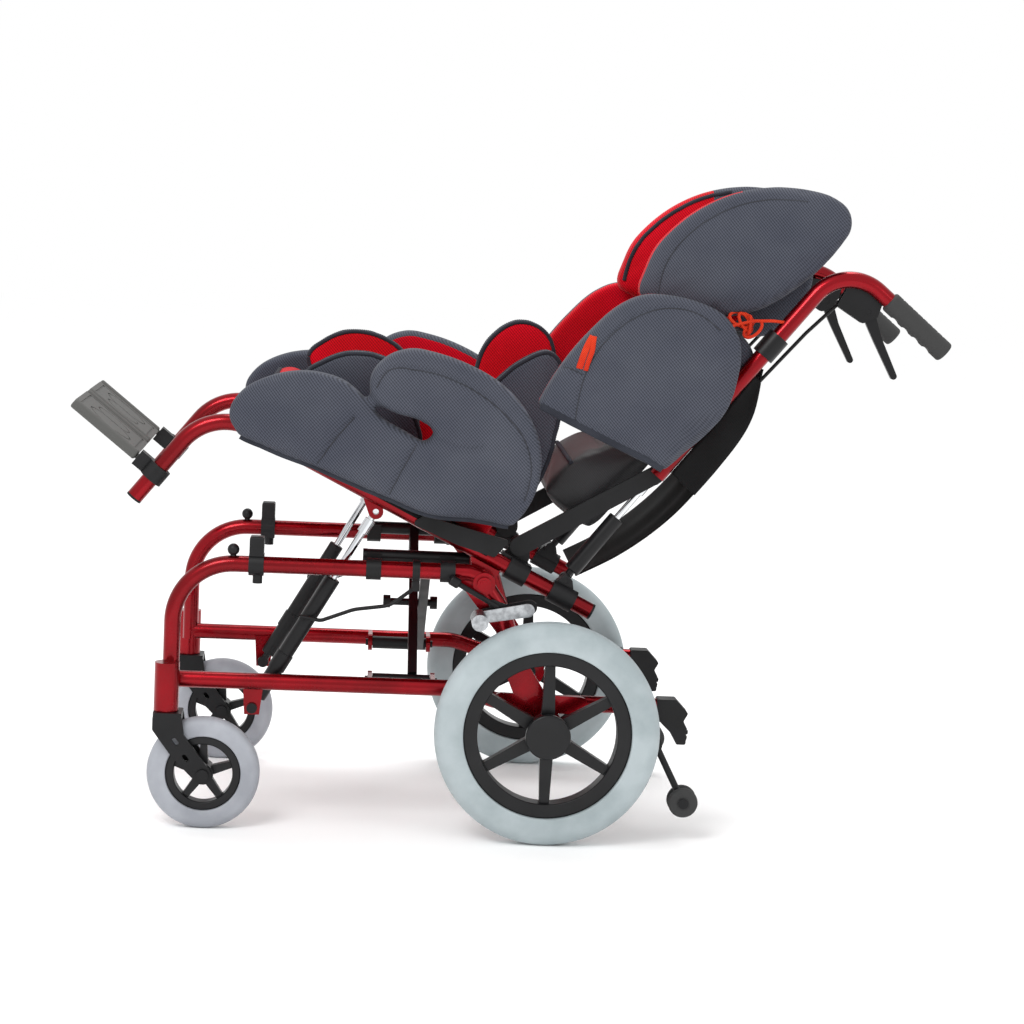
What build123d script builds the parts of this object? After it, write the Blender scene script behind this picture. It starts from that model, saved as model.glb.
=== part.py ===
"""Folding tilt-in-space wheelchair with a reclining back, padded seating and twelve inch wheels.

Every X below is measured from the rear axle, towards the push handles; Z is the height above the
floor and Y the distance from the middle plane. The left side is at negative Y. build_parts() makes
the pieces in that system and main() moves them along X so that the origin lies under the middle.
"""

import os
from math import asin, atan2, cos, degrees, hypot, radians, sin

from build123d import *

# ---------------------------------------------------------------- driving dimensions, millimetres
TUBE_R = 11.1                # 22.2 mm frame tube
TUBE_WALL = 2.0
FIT = 0.05                   # radial running clearance of a pin in its bore
SIDE_GAP = 0.4               # gap between parts that move past each other
SOFT_GAP = 0.8               # gap between a pad and its neighbour

FRAME_Y = 190.0              # middle plane to side frame tubes
SEAT_Y = 175.0               # middle plane to seat tubes and back canes
STRUT_Y = 165.0              # middle plane to tilt gas struts
BRACE_Y = 147.0              # middle plane to the brace tubes at rest
WHEEL_Y = 250.0
CASTER_Y = 216.0

# rear wheel
WHEEL_R = 150.0
WHEEL_RIM_R = 112.0
WHEEL_RIM_INNER_R = 93.0
TYRE_W = 40.0
AXLE_R = 6.0
WHEEL_SPOKES = 6

# caster
CASTER_X = -454.0
CASTER_R = 75.0
CASTER_RIM_R = 50.0
CASTER_TYRE_W = 28.0
CASTER_AXLE_R = 4.0
CASTER_SPOKES = 5
STEM_X = -506.0
STEM_R = 8.0
SLEEVE_R = 16.5
SLEEVE_LOW = 157.0
SLEEVE_HIGH = 222.0
FORK_LEG = 5.0

# side frame
UPPER_RAIL_Z = 353.0
LOWER_RAIL_Z = 195.0
TIPPER_Z = 180.0
POST_X = -503.0
POST_LOW_Z = 205.0
FRONT_BEND = 80.0
UPRIGHT = [(-30.0, 200.0), (-62.0, 300.0), (-98.0, UPPER_RAIL_Z)]
TIPPER_END_X = 150.0
TILT_PIVOT = (-90.0, 340.0)
TILT_PIN_R = 6.0

# fold brace
BRACE_TUBE_R = 9.0
BRACE_LOW_Z = LOWER_RAIL_Z
BRACE_HIGH_Z = 365.0
BRACE_LOW_X = (-234.0, -156.0)
BRACE_HIGH_X = (-250.0, -112.0)
BRACE_BAR_X = (-186.0, -173.5)
BRACE_BAR_GAP = 1.0
BRACE_BAR_H = 22.0
BRACE_PIN_R = 5.0
BRACE_BOLT_X = (-222.0, -146.0)
SADDLE_X = (-238.0, -139.0)
SADDLE_L = 20.0

# seat frame
SEAT_TILT = 26.3
SEAT_REAR_L = 211.5          # from the reference point to the tube ends, along the seat tube
SEAT_FRONT_L = 363.5
HANGER_SLOPE = 51.5
HANGER_BEND = 75.0
HANGER_END_Z = 436.0
SEAT_REF = (-134.6, 398.3)   # point on the seat tube that seat places are measured from

# footplate, in a plane square to the hanger
CLAMP_FROM_END = 42.0
PLATE_NEAR = 33.0
PLATE_FAR = 143.0
PLATE_INNER_Y = 8.0
PLATE_HINGE_Y = 167.0
PLATE_T = 7.0
PLATE_RAIL_R = 7.0
PLATE_PIN_R = 4.0

# back
BACK_PIVOT = (-43.0, 387.0)
BACK_PIN_R = 5.0
CANE_FOOT = (136.0, 491.0)
CANE_SLOPE = 51.5
CANE_CORNER = (374.1, 790.4)
CANE_BEND = 60.0
GRIP_SLOPE = -39.9
GRIP_START = 80.0            # from the cane's corner, along the handle
GRIP_L = 104.0
GRIP_R = 14.5
LINK_Y = 163.2               # outer face of the back link
LINK_T = 6.0

# struts
TILT_STRUT_LOW = (-394.0, 157.0)
TILT_STRUT_HIGH = (-238.0, 428.0)
TILT_CYL_L = 205.0
TILT_CYL_R = 10.5
TILT_ROD_R = 5.0
RECLINE_Y = 149.0
RECLINE_LOW = (21.0, 344.5)
RECLINE_CYL_L = 108.0
RECLINE_CYL_R = 11.0
RECLINE_ROD_R = 4.5
EYE_R = 8.0
EYE_T = 10.0
EYE_PIN_R = 4.0

# cables
CABLE_R = 2.6
CABLE_Y = 182.0

# brake, release lever and anti-tip arm
BRAKE_Y = 206.0
BRAKE_PIVOT = (-60.0, 305.0)
SHOE_PIVOT = (-31.0, 309.0)
SHOE_AT = (-96.0, 297.0)
SHOE_R = 11.0
BRAKE_TIP = (-130.0, 343.0)
LEVER_PIVOT = (409.0, 723.0)
LEVER_TIP = (449.0, 638.0)
LEVER_Y = 165.0
LEVER_T = 8.0
ANTITIP_Y = 208.0
ANTITIP_PIVOT = (134.0, 163.0)
ANTITIP_WHEEL = (190.0, 55.0)
ANTITIP_ARM_IN = 3.0         # arm plate reaches this far inwards of its middle
ANTITIP_R = 20.0

# padding
PAD_OUTER_Y = 240.0
PAD_INNER_Y = 186.7
SEAT_PAD_T = 62.0
SEAT_PAD_HALF_W = 160.0
SLING_T = 3.0
INNER_PAD_Y = (100.0, 138.0)
BACK_PAD_T = 46.0
BACK_PAD_BACK = 12.0         # back face in front of the cane line
BACK_PAD_WIDE_W = 176.0      # half width where it lies across the canes
BACK_PAD_WIDE_FROM = 70.0    # distance up the cane where it widens
BACK_PAD_WIDE_TO = 204.0     # and where it narrows again, below the strap
BACK_PAD_TOP = 222.0
BACK_PAD_HALF_W = 144.0
WING_Y = (128.0, 186.0)


# ---------------------------------------------------------------------------------- small helpers
def slab(sketch, y_low, y_high):
    """Extrude a sketch drawn in X and Z between two Y values."""
    return Pos(0, y_high, 0) * extrude(Plane.XZ * sketch, amount=y_high - y_low)


def polygon(points):
    """Face of a closed straight-sided outline."""
    return make_face(Polyline(*points, close=True))


def soft_outline(points):
    """Face of a closed smooth outline through the points."""
    return make_face(Spline(*points, periodic=True))


def link_shape(first, second, first_r, second_r):
    """Outline of a link with round ends about two centres."""
    ends = Pos(*first) * Circle(first_r) + Pos(*second) * Circle(second_r)
    return make_hull(ends.edges())


def rod_y(centre, radius, y_low, y_high):
    """Cylinder along Y through a point given as (x, z)."""
    x, z = centre
    return Pos(x, (y_low + y_high) / 2, z) * Rot(90, 0, 0) * Cylinder(radius, y_high - y_low)


def rod_x(radius, x_low, x_high, y, z):
    """Cylinder along X."""
    return Pos((x_low + x_high) / 2, y, z) * Rot(0, 90, 0) * Cylinder(radius, x_high - x_low)


def rod_between(start, end, y, radius, end_y=None):
    """Cylinder between two (x, z) points, at one Y or from y to end_y."""
    first = Vector(start[0], y, start[1])
    last = Vector(end[0], y if end_y is None else end_y, end[1])
    plane = Plane(origin=first, z_dir=last - first)
    return plane * Cylinder(radius, (last - first).length, align=(Align.CENTER, Align.CENTER, Align.MIN))


def route(points, y, radii):
    """Straight runs joined by arcs, in a plane of constant Y."""
    places = [(x, y, z) for x, z in points]
    return FilletPolyline(*places, radius=radii) if len(places) > 2 else Line(*places)


def sweep_round(path, radius):
    """Round bar along a path."""
    return sweep(Plane(origin=path @ 0, z_dir=path % 0) * Circle(radius), path=path)


def along(start, slope_deg, distance, offset=0.0):
    """Point at a distance along a sloping line, and an offset to the left of it."""
    c, s = cos(radians(slope_deg)), sin(radians(slope_deg))
    return (start[0] + distance * c - offset * s, start[1] + distance * s + offset * c)


def seat_at(distance, height):
    """Point in the tilted seat: distance to the rear along the seat tube, height above it."""
    return along(SEAT_REF, -SEAT_TILT, distance, height)


def back_at(distance, depth):
    """Point in the reclined back: distance up the cane from its foot, depth in front of it."""
    return along(CANE_FOOT, CANE_SLOPE, distance, depth)


def slope_between(start, end):
    """Slope of a line in degrees."""
    return degrees(atan2(end[1] - start[1], end[0] - start[0]))


def between(start, end, share):
    """Point at a share of the way from start to end."""
    return (start[0] + (end[0] - start[0]) * share, start[1] + (end[1] - start[1]) * share)


def group(pieces):
    """One node of separate solids."""
    return Compound([solid for piece in pieces for solid in piece.solids()])


def ring(outer_r, inner_r, width, edge):
    """Ring about the Y axis with rounded edges."""
    profile = Pos((outer_r + inner_r) / 2, 0) * RectangleRounded(outer_r - inner_r, width, edge)
    return Rot(90, 0, 0) * revolve(Plane.XZ * profile, Axis.Z)


# --------------------------------------------------------------------------------------- wheels
def spoked_rim(rim_r, inner_r, width, hub_r, hub_l, bore_r, spokes, spoke_w):
    """Moulded wheel centre: rim, hub and tapered spokes, about the Y axis."""
    body = ring(rim_r, inner_r, width, 2.0)
    body += Rot(90, 0, 0) * Cylinder(hub_r, hub_l)
    spoke = polygon([(-spoke_w * 0.7, hub_r - 4), (spoke_w * 0.7, hub_r - 4),
                     (spoke_w / 2, inner_r + 2), (-spoke_w / 2, inner_r + 2)])
    for index in range(spokes):
        body += Rot(0, 360 / spokes * index, 0) * slab(spoke, -width * 0.25, width * 0.25)
    return body - Rot(90, 0, 0) * Cylinder(bore_r, hub_l + 2)


def rear_wheel():
    """Rear wheel centre with a closed hub cap on its outer side."""
    hub_l = 44.0
    cap_r = 30.0
    cap_t = 7.0
    body = spoked_rim(WHEEL_RIM_R, WHEEL_RIM_INNER_R, 30.0, 24.0, hub_l, AXLE_R + FIT, WHEEL_SPOKES, 13.0)
    cap = rod_y((0, 0), cap_r, -hub_l / 2 - cap_t, -hub_l / 2 + 2)
    cap = fillet(cap.edges().sort_by(Axis.Y)[0], 3.0)
    cap -= rod_y((0, 0), AXLE_R + FIT, -hub_l / 2, -hub_l / 2 + 3)
    return Pos(0, -WHEEL_Y, WHEEL_R) * (body + cap)


def tyre(outer_r, inner_r, width, shoulder):
    """Solid tyre with a flat seat and rounded shoulders, about the Y axis."""
    depth = outer_r - inner_r
    half = width / 2
    face = Pos(inner_r + depth / 2, 0) * Rectangle(depth, width)
    face = fillet(face.vertices().group_by(Axis.X)[-1], min(shoulder, half - 1, depth - 1))
    face = fillet(face.vertices().group_by(Axis.X)[0], 2.0)
    return Rot(90, 0, 0) * revolve(Plane.XZ * face, Axis.Z)


def caster_fork():
    """Fork with its stem, legs, slots and the caster's axle."""
    leg_in = CASTER_TYRE_W / 2 + 3.0
    leg_out = leg_in + FORK_LEG
    crown_low = SLEEVE_LOW - 10.0
    crown = Pos(STEM_X + 3, -CASTER_Y, SLEEVE_LOW - SIDE_GAP - 5) * Box(38, 2 * leg_out, 10)
    crown = fillet(crown.edges().filter_by(Axis.Z), 4.0)
    outline = polygon([(STEM_X - 16, crown_low + 8), (STEM_X + 22, crown_low + 8), (STEM_X + 26, 128),
                       (CASTER_X + 8, 84), (CASTER_X - 9, 66), (-495, 98), (STEM_X - 16, 134)])
    outline = fillet(outline.vertices(), 5.0)
    outline += Pos(CASTER_X, CASTER_R) * Circle(12.0)
    for x, z in ((-491, 119), (-477, 97)):
        outline -= Pos(x, z) * Rot(0, 0, -50) * SlotOverall(11, 6)
    legs = slab(outline, -CASTER_Y - leg_out, -CASTER_Y - leg_in)
    legs += slab(outline, -CASTER_Y + leg_in, -CASTER_Y + leg_out)
    stem = Pos(STEM_X, -CASTER_Y, SLEEVE_LOW - 6) * Cylinder(
        STEM_R, SLEEVE_HIGH - SLEEVE_LOW, align=(Align.CENTER, Align.CENTER, Align.MIN))
    axle = rod_y((CASTER_X, CASTER_R), CASTER_AXLE_R, -CASTER_Y - leg_out - 3, -CASTER_Y + leg_out + 3)
    heads = rod_y((CASTER_X, CASTER_R), 8, -CASTER_Y - leg_out - 4, -CASTER_Y - leg_out)
    heads += rod_y((CASTER_X, CASTER_R), 8, -CASTER_Y + leg_out, -CASTER_Y + leg_out + 4)
    return crown + legs + stem + axle + heads


# ------------------------------------------------------------------------------------- side frame
def side_frame():
    """Welded side frame: rail loop, caster sleeve, axle plate, pivot boss and brackets."""
    upper = route(UPRIGHT + [(POST_X, UPPER_RAIL_Z), (POST_X, POST_LOW_Z)], -FRAME_Y, [60, 30, FRONT_BEND])
    lower_points = [(POST_X, LOWER_RAIL_Z), (-115, LOWER_RAIL_Z), (-65, TIPPER_Z), (TIPPER_END_X, TIPPER_Z)]
    lower = route(lower_points, -FRAME_Y, [60, 60])
    body = sweep_round(upper, TUBE_R) + sweep_round(lower, TUBE_R)
    post_foot = rod_between((POST_X, POST_LOW_Z), (POST_X, LOWER_RAIL_Z - TUBE_R), -FRAME_Y, TUBE_R)
    body += post_foot
    sleeve = Pos(STEM_X, -CASTER_Y, SLEEVE_LOW) * Cylinder(
        SLEEVE_R, SLEEVE_HIGH - SLEEVE_LOW, align=(Align.CENTER, Align.CENTER, Align.MIN))
    body += sleeve
    plate_y = -FRAME_Y - TUBE_R + 1.5
    plate = link_shape((-42, 228), (0, WHEEL_R), 16, 24) + link_shape((-60, TIPPER_Z + 2), (45, TIPPER_Z), 12, 12)
    body += slab(plate, plate_y - 6, plate_y)
    body += rod_y((0, WHEEL_R), 16, plate_y - 14, plate_y + 4)
    body += rod_y(TILT_PIVOT, 15, -FRAME_Y - TUBE_R - 2, -FRAME_Y + TUBE_R)
    gusset = polygon([(-128, 345), (-90, 358), (-62, 312), (-52, 270), (-66, 268)])
    body += slab(gusset, -FRAME_Y - 3, -FRAME_Y + 3)
    strut_x, strut_z = TILT_STRUT_LOW
    tab = polygon([(strut_x - 13, LOWER_RAIL_Z - 2), (strut_x + 15, LOWER_RAIL_Z - 2),
                   (strut_x + 10, strut_z - 9), (strut_x - 10, strut_z - 9)])
    tab_in = -STRUT_Y - TILT_CYL_R - 2 * SIDE_GAP
    body += slab(tab, tab_in - 6, tab_in)
    for side in (-1, 1):
        face_x = BRACE_LOW_X[0] - SIDE_GAP - 3 if side < 0 else BRACE_LOW_X[1] + SIDE_GAP + 3
        ear = Pos(face_x, -(FRAME_Y + BRACE_Y) / 2, LOWER_RAIL_Z) * Box(6, FRAME_Y - BRACE_Y, 22)
        ear += rod_x(12, face_x - 3, face_x + 3, -BRACE_Y, BRACE_LOW_Z)
        ear -= rod_x(BRACE_PIN_R + FIT, face_x - 4, face_x + 4, -BRACE_Y, BRACE_LOW_Z)
        body += ear
    body -= sweep_round(upper, TUBE_R - TUBE_WALL)
    body -= sweep_round(lower, TUBE_R - TUBE_WALL)
    body -= rod_y(TILT_PIVOT, TILT_PIN_R + FIT, -FRAME_Y - 30, -FRAME_Y + 30)
    body -= rod_y((0, WHEEL_R), AXLE_R, plate_y - 20, plate_y + 20)
    body -= rod_y(TILT_STRUT_LOW, EYE_PIN_R + FIT, tab_in - 8, tab_in + 1)
    bore = Pos(STEM_X, -CASTER_Y, SLEEVE_LOW - 1) * Cylinder(
        STEM_R + FIT, SLEEVE_HIGH - SLEEVE_LOW - 3, align=(Align.CENTER, Align.CENTER, Align.MIN))
    return body - bore


def rail_clamp(x, length, y_in, z_low, z_high, outer_r):
    """Block clamped round the upper rail that reaches inwards to y_in."""
    body = rod_x(outer_r, x - length / 2, x + length / 2, -FRAME_Y, UPPER_RAIL_Z)
    block_w = FRAME_Y - y_in
    body += Pos(x, -(FRAME_Y + y_in) / 2, (z_low + z_high) / 2) * Box(length, block_w, z_high - z_low)
    return body - rod_x(TUBE_R, x - length, x + length, -FRAME_Y, UPPER_RAIL_Z)


def saddle(x):
    """Plastic cradle on the upper rail that a brace tube drops into."""
    wall = 4.0
    reach = BRACE_Y - BRACE_TUBE_R - SIDE_GAP - wall
    top = BRACE_HIGH_Z + 5
    body = rail_clamp(x, SADDLE_L, reach, BRACE_HIGH_Z - BRACE_TUBE_R - 6, BRACE_HIGH_Z - BRACE_TUBE_R - SIDE_GAP, 14.5)
    wall_y = -reach - wall / 2
    body += Pos(x, wall_y, (top + BRACE_HIGH_Z - 15) / 2) * Box(SADDLE_L, wall, top - BRACE_HIGH_Z + 15)
    outer_y = -(BRACE_Y + BRACE_TUBE_R + SIDE_GAP + 1)
    body += Pos(x, outer_y, (top + BRACE_HIGH_Z - 15) / 2) * Box(SADDLE_L, 2, top - BRACE_HIGH_Z + 15)
    return body - rod_x(TUBE_R, x - SADDLE_L, x + SADDLE_L, -FRAME_Y, UPPER_RAIL_Z)


def stop_block():
    """Rest stop for the seat tube, strapped to the upper rail, with its knob underneath."""
    x = -394.0
    body = rail_clamp(x, 20, FRAME_Y - 14, UPPER_RAIL_Z - 14, UPPER_RAIL_Z + 14, 15)
    body += Pos(x, -FRAME_Y + 1, UPPER_RAIL_Z + 25) * Box(19, 24, 26)
    body = fillet(body.edges().group_by(Axis.Z)[-1], 3)
    body += Pos(x + 2, -FRAME_Y, UPPER_RAIL_Z - 19) * Cylinder(6.5, 12)
    return body - rod_x(TUBE_R, x - 30, x + 30, -FRAME_Y, UPPER_RAIL_Z)


def front_buffer():
    """Round rubber buffer on the upper rail beside the stop."""
    x = -425.0
    body = Pos(x, -FRAME_Y, UPPER_RAIL_Z + TUBE_R + 8) * Sphere(8)
    body += Pos(x, -FRAME_Y, UPPER_RAIL_Z + 4) * Cylinder(4, 18)
    return body - rod_x(TUBE_R, x - 30, x + 30, -FRAME_Y, UPPER_RAIL_Z)


def tipping_pedal():
    """Ribbed foot pad on the end of the tipping tube."""
    outline = polygon([(TIPPER_END_X + 0.2, 192), (TIPPER_END_X + 26, 192), (TIPPER_END_X + 43, 174),
                       (TIPPER_END_X + 37, 163), (TIPPER_END_X + 44, 150), (TIPPER_END_X + 41, 131),
                       (TIPPER_END_X + 29, 131), (TIPPER_END_X + 19, 148), (TIPPER_END_X + 0.2, 166)])
    outline = fillet(outline.vertices(), 3.0)
    pad = slab(outline, -FRAME_Y - 12, -FRAME_Y + 14)
    for z in range(136, 186, 8):
        pad -= Pos(TIPPER_END_X + 43, -FRAME_Y + 1, z) * Box(3, 40, 3)
    plug = rod_x(TUBE_R - TUBE_WALL, TIPPER_END_X - 20, TIPPER_END_X + 8, -FRAME_Y, TIPPER_Z)
    return pad + plug


def brake_plate():
    """Plate on the upright that carries the brake's two pivots."""
    face = -FRAME_Y - TUBE_R - 0.3
    body = slab(link_shape((-86, 299), (-28, 311), 9, 10), face - 4, face)
    for pivot, radius in ((BRAKE_PIVOT, EYE_PIN_R), (SHOE_PIVOT, EYE_PIN_R)):
        body -= rod_y(pivot, radius + FIT, face - 5, face + 1)
    return body


def wheel_axle():
    """Quick-release axle pin from the axle plate into the hub, with a washer each side."""
    plate_y = -FRAME_Y - TUBE_R + 1.5
    outer = -WHEEL_Y - 22 + 0.5
    body = rod_y((0, WHEEL_R), AXLE_R, outer, plate_y + 8)
    return body + rod_y((0, WHEEL_R), 11, plate_y + 4.2, plate_y + 9)


def frame_fittings():
    """Plastic and steel fittings on one side frame."""
    pieces = [stop_block(), front_buffer(), tipping_pedal(), brake_plate(), wheel_axle()]
    pieces += [saddle(x) for x in SADDLE_X]
    pieces.append(antitip_bracket())
    return group(pieces)


# ------------------------------------------------------------------------------------ fold brace
def brace(direction):
    """Cross brace: -1 runs from the left lower rail to the right saddle, +1 the other way."""
    low_y, high_y = direction * BRACE_Y, -direction * BRACE_Y
    thick = BRACE_BAR_X[1] - BRACE_BAR_X[0]
    bar_x = BRACE_BAR_X[0] if direction < 0 else BRACE_BAR_X[1] + BRACE_BAR_GAP
    body = rod_x(BRACE_TUBE_R, *BRACE_LOW_X, low_y, BRACE_LOW_Z)
    body += rod_x(BRACE_TUBE_R, *BRACE_HIGH_X, high_y, BRACE_HIGH_Z)
    rise = BRACE_HIGH_Z - BRACE_LOW_Z
    length = hypot(2 * BRACE_Y, rise)
    slope = degrees(asin(rise / length)) * (1 if high_y > low_y else -1)
    centre = (bar_x + thick / 2, 0, (BRACE_LOW_Z + BRACE_HIGH_Z) / 2)
    body += Pos(*centre) * Rot(slope, 0, 0) * Box(thick, length - 12, BRACE_BAR_H)
    body += rod_x(BRACE_PIN_R, BRACE_LOW_X[0] - 10, BRACE_LOW_X[1] + 10, low_y, BRACE_LOW_Z)
    for x, z in ((BRACE_HIGH_X[0], BRACE_HIGH_Z), (BRACE_HIGH_X[1], BRACE_HIGH_Z)):
        body += rod_x(BRACE_TUBE_R + 0.3, x - 3, x + 3, high_y, z)
    mid_z = centre[2]
    if direction < 0:
        body += rod_x(BRACE_PIN_R, BRACE_BOLT_X[0], BRACE_BOLT_X[1], 0, mid_z)
        for x in (BRACE_BOLT_X[0] + 5, BRACE_BOLT_X[1] - 5):
            body += rod_x(9, x - 5, x + 5, 0, mid_z)
    else:
        body -= rod_x(BRACE_PIN_R + FIT, BRACE_BOLT_X[0], BRACE_BOLT_X[1], 0, mid_z)
    return body


# ------------------------------------------------------------------------------------ seat frame
def hanger_corner():
    """Corner where the seat tube's line meets the hanger's line."""
    return seat_at(-SEAT_FRONT_L, 0)


def hanger_end():
    """Lower end of the footrest hanger."""
    corner = hanger_corner()
    down = (corner[1] - HANGER_END_Z) / sin(radians(HANGER_SLOPE))
    return along(corner, HANGER_SLOPE, -down)


def plate_at(forward, up):
    """Point in the footplate's frame: forward along the plate, up along the hanger."""
    clamp = along(hanger_end(), HANGER_SLOPE, CLAMP_FROM_END)
    return along(clamp, HANGER_SLOPE, up, forward)


def seat_tube():
    """Seat tube bent down into the footrest hanger, with the lugs of its pivots and struts."""
    path = route([seat_at(SEAT_REAR_L, 0), hanger_corner(), hanger_end()], -SEAT_Y, HANGER_BEND)
    body = sweep_round(path, TUBE_R)
    lug_out = -FRAME_Y + TUBE_R + SIDE_GAP
    lug = link_shape(TILT_PIVOT, seat_at(38, 0), 15, 9) + link_shape(TILT_PIVOT, seat_at(70, 0), 13, 8)
    body += slab(lug, lug_out, lug_out + 6)
    strut_tab = link_shape(TILT_STRUT_HIGH, seat_at(-128, 0), 10, 9)
    tab_in = -STRUT_Y - EYE_T / 2 - SIDE_GAP
    body += slab(strut_tab, tab_in - 6, tab_in)
    body -= sweep_round(path, TUBE_R - TUBE_WALL)
    body += rod_between(seat_at(75, 0), seat_at(35, 0), -SEAT_Y, TUBE_R - TUBE_WALL + 0.5)
    body += rod_y(TILT_PIVOT, TILT_PIN_R, -FRAME_Y - TUBE_R - 9, lug_out + 6)
    body += rod_y(TILT_PIVOT, 9.5, -FRAME_Y - TUBE_R - 8, -FRAME_Y - TUBE_R - 2 - SIDE_GAP)
    return body - rod_y(TILT_STRUT_HIGH, EYE_PIN_R + FIT, tab_in - 8, tab_in + 1)


def footplate_clamp():
    """Clamp round the hanger with the knuckle that the footplate turns in."""
    slope = HANGER_SLOPE
    centre = plate_at(0, 0)
    low, high = along(centre, slope, -11), along(centre, slope, 11)
    body = rod_between(low, high, -SEAT_Y, TUBE_R + 5)
    knuckle = Pos(0, -PLATE_HINGE_Y, 0) * Box(22, 20, 22)
    near = plate_at(21, 0)
    body += Pos(near[0], 0, near[1]) * Rot(0, -slope, 0) * knuckle
    body -= rod_between(along(centre, slope, -20), along(centre, slope, 20), -SEAT_Y, TUBE_R + 0.1)
    body -= rod_between(plate_at(9, 0), plate_at(40, 0), -PLATE_HINGE_Y, PLATE_PIN_R + FIT)
    return body


def pivot_bracket():
    """Bracket on the seat tube that carries the back's pivot."""
    face = -LINK_Y + LINK_T + SIDE_GAP
    web = polygon([seat_at(68, TUBE_R - 1), seat_at(118, TUBE_R - 1), BACK_PIVOT])
    plate = slab(link_shape(BACK_PIVOT, seat_at(92, 18), 14, 16) + web, face, face + 5)
    foot_x, foot_z = seat_at(92, TUBE_R + 1.5)
    foot = Pos(foot_x, (face + 5 - SEAT_Y) / 2, foot_z) * Rot(0, SEAT_TILT, 0) * Box(44, SEAT_Y + face + 5, 5)
    body = plate + foot
    body += rod_between(seat_at(84, 0), seat_at(114, 0), -SEAT_Y, TUBE_R + 4)
    body -= rod_between(seat_at(40, 0), seat_at(160, 0), -SEAT_Y, TUBE_R + 0.1)
    return body - rod_y(BACK_PIVOT, BACK_PIN_R + FIT, face - 1, face + 6)


def recline_bracket():
    """Bracket on the seat tube that carries the recline strut."""
    face = -RECLINE_Y - EYE_T / 2 - SIDE_GAP
    near, far = seat_at(150, 0), seat_at(186, 0)
    body = rod_between(near, far, -SEAT_Y, TUBE_R + 4)
    foot = polygon([seat_at(150, 4), seat_at(186, 4), along(RECLINE_LOW, 0, 9), along(RECLINE_LOW, 90, 9),
                    along(RECLINE_LOW, 180, 11)])
    body += slab(foot, -SEAT_Y, face)
    body -= rod_between(seat_at(120, 0), seat_at(240, 0), -SEAT_Y, TUBE_R + 0.1)
    return body - rod_y(RECLINE_LOW, EYE_PIN_R + FIT, -SEAT_Y - 1, face + 1)


def side_guard():
    """Plastic guard along the outside of the seat tube."""
    outline = polygon([seat_at(-58, -9), seat_at(10, -5), seat_at(62, 4), seat_at(70, 34), seat_at(-48, 8)])
    outline = fillet(outline.vertices(), 4.0)
    return slab(outline, -SEAT_Y - TUBE_R - 4.2, -SEAT_Y - TUBE_R - 0.2)


def tube_plugs():
    """Plastic plugs in both ends of the seat tube."""
    inner = TUBE_R - TUBE_WALL - 0.05
    end = SEAT_REAR_L + 0.05
    rear = rod_between(seat_at(end, 0), seat_at(end - 14, 0), -SEAT_Y, inner)
    rear += rod_between(seat_at(end, 0), seat_at(end + 3, 0), -SEAT_Y, TUBE_R)
    foot = along(hanger_end(), HANGER_SLOPE, -0.05)
    front = rod_between(foot, along(foot, HANGER_SLOPE, 14), -SEAT_Y, inner)
    front += rod_between(foot, along(foot, HANGER_SLOPE, -3), -SEAT_Y, TUBE_R)
    return [rear, front]


def seat_fittings():
    """Brackets, guard, clamp and plugs on one seat tube."""
    pieces = [footplate_clamp(), pivot_bracket(), recline_bracket(), side_guard()]
    return group(pieces + tube_plugs())


def footplate():
    """Half footplate with its hinge rail, inner rail, foot-shaped groove and ribs."""
    low_x, high_x = PLATE_NEAR, PLATE_FAR
    width = PLATE_HINGE_Y - PLATE_INNER_Y
    mid_y = -(PLATE_HINGE_Y + PLATE_INNER_Y) / 2
    mid_f = (low_x + high_x) / 2
    depth = high_x - low_x
    deck = Box(depth, width, PLATE_T)
    deck = fillet(deck.edges().filter_by(Axis.Z), 12)
    groove = Pos(0, 0, PLATE_T / 2) * (Box(depth - 14, width - 34, 2.4) - Box(depth - 20, width - 40, 3))
    sole = Cylinder(30, 2.4) - Cylinder(28, 3)
    deck -= groove
    for shift, size in ((26, 1.0), (-22, 0.8)):
        deck -= Pos(0, shift, PLATE_T / 2) * scale(sole, (1.15 * size, size, 1))
    rail = Rot(0, 90, 0) * Cylinder(PLATE_RAIL_R, depth - 1)
    rail = fillet(rail.edges(), 3)
    pin = Pos(-depth / 2 - 8, 0, 0) * Rot(0, 90, 0) * Cylinder(PLATE_PIN_R, 28)
    deck += Pos(0, width / 2, 0) * (rail + pin)
    deck += Pos(0, PLATE_RAIL_R - 3 - width / 2, 0) * rail
    for step in range(5):
        deck += Pos(-depth / 2 + 18 + step * 19, 0, -PLATE_T / 2 - 2) * Box(3, width - 20, 5)
    local = Plane(origin=(0, 0, 0), x_dir=(-sin(radians(HANGER_SLOPE)), 0, cos(radians(HANGER_SLOPE))),
                  z_dir=(cos(radians(HANGER_SLOPE)), 0, sin(radians(HANGER_SLOPE))))
    centre = plate_at(mid_f, 0)
    return Pos(centre[0], mid_y, centre[1]) * local.location * deck


# ------------------------------------------------------------------------------------------ back
def grip_at(distance, offset=0.0):
    """Point along the push handle, measured from the cane's corner."""
    return along(CANE_CORNER, GRIP_SLOPE, distance, offset)


def back_cane():
    """Back cane bent over into the push handle."""
    end = grip_at(GRIP_START + GRIP_L - 6)
    path = route([CANE_FOOT, CANE_CORNER, end], -SEAT_Y, CANE_BEND)
    return sweep_round(path, TUBE_R) - sweep_round(path, TUBE_R - TUBE_WALL)


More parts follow.
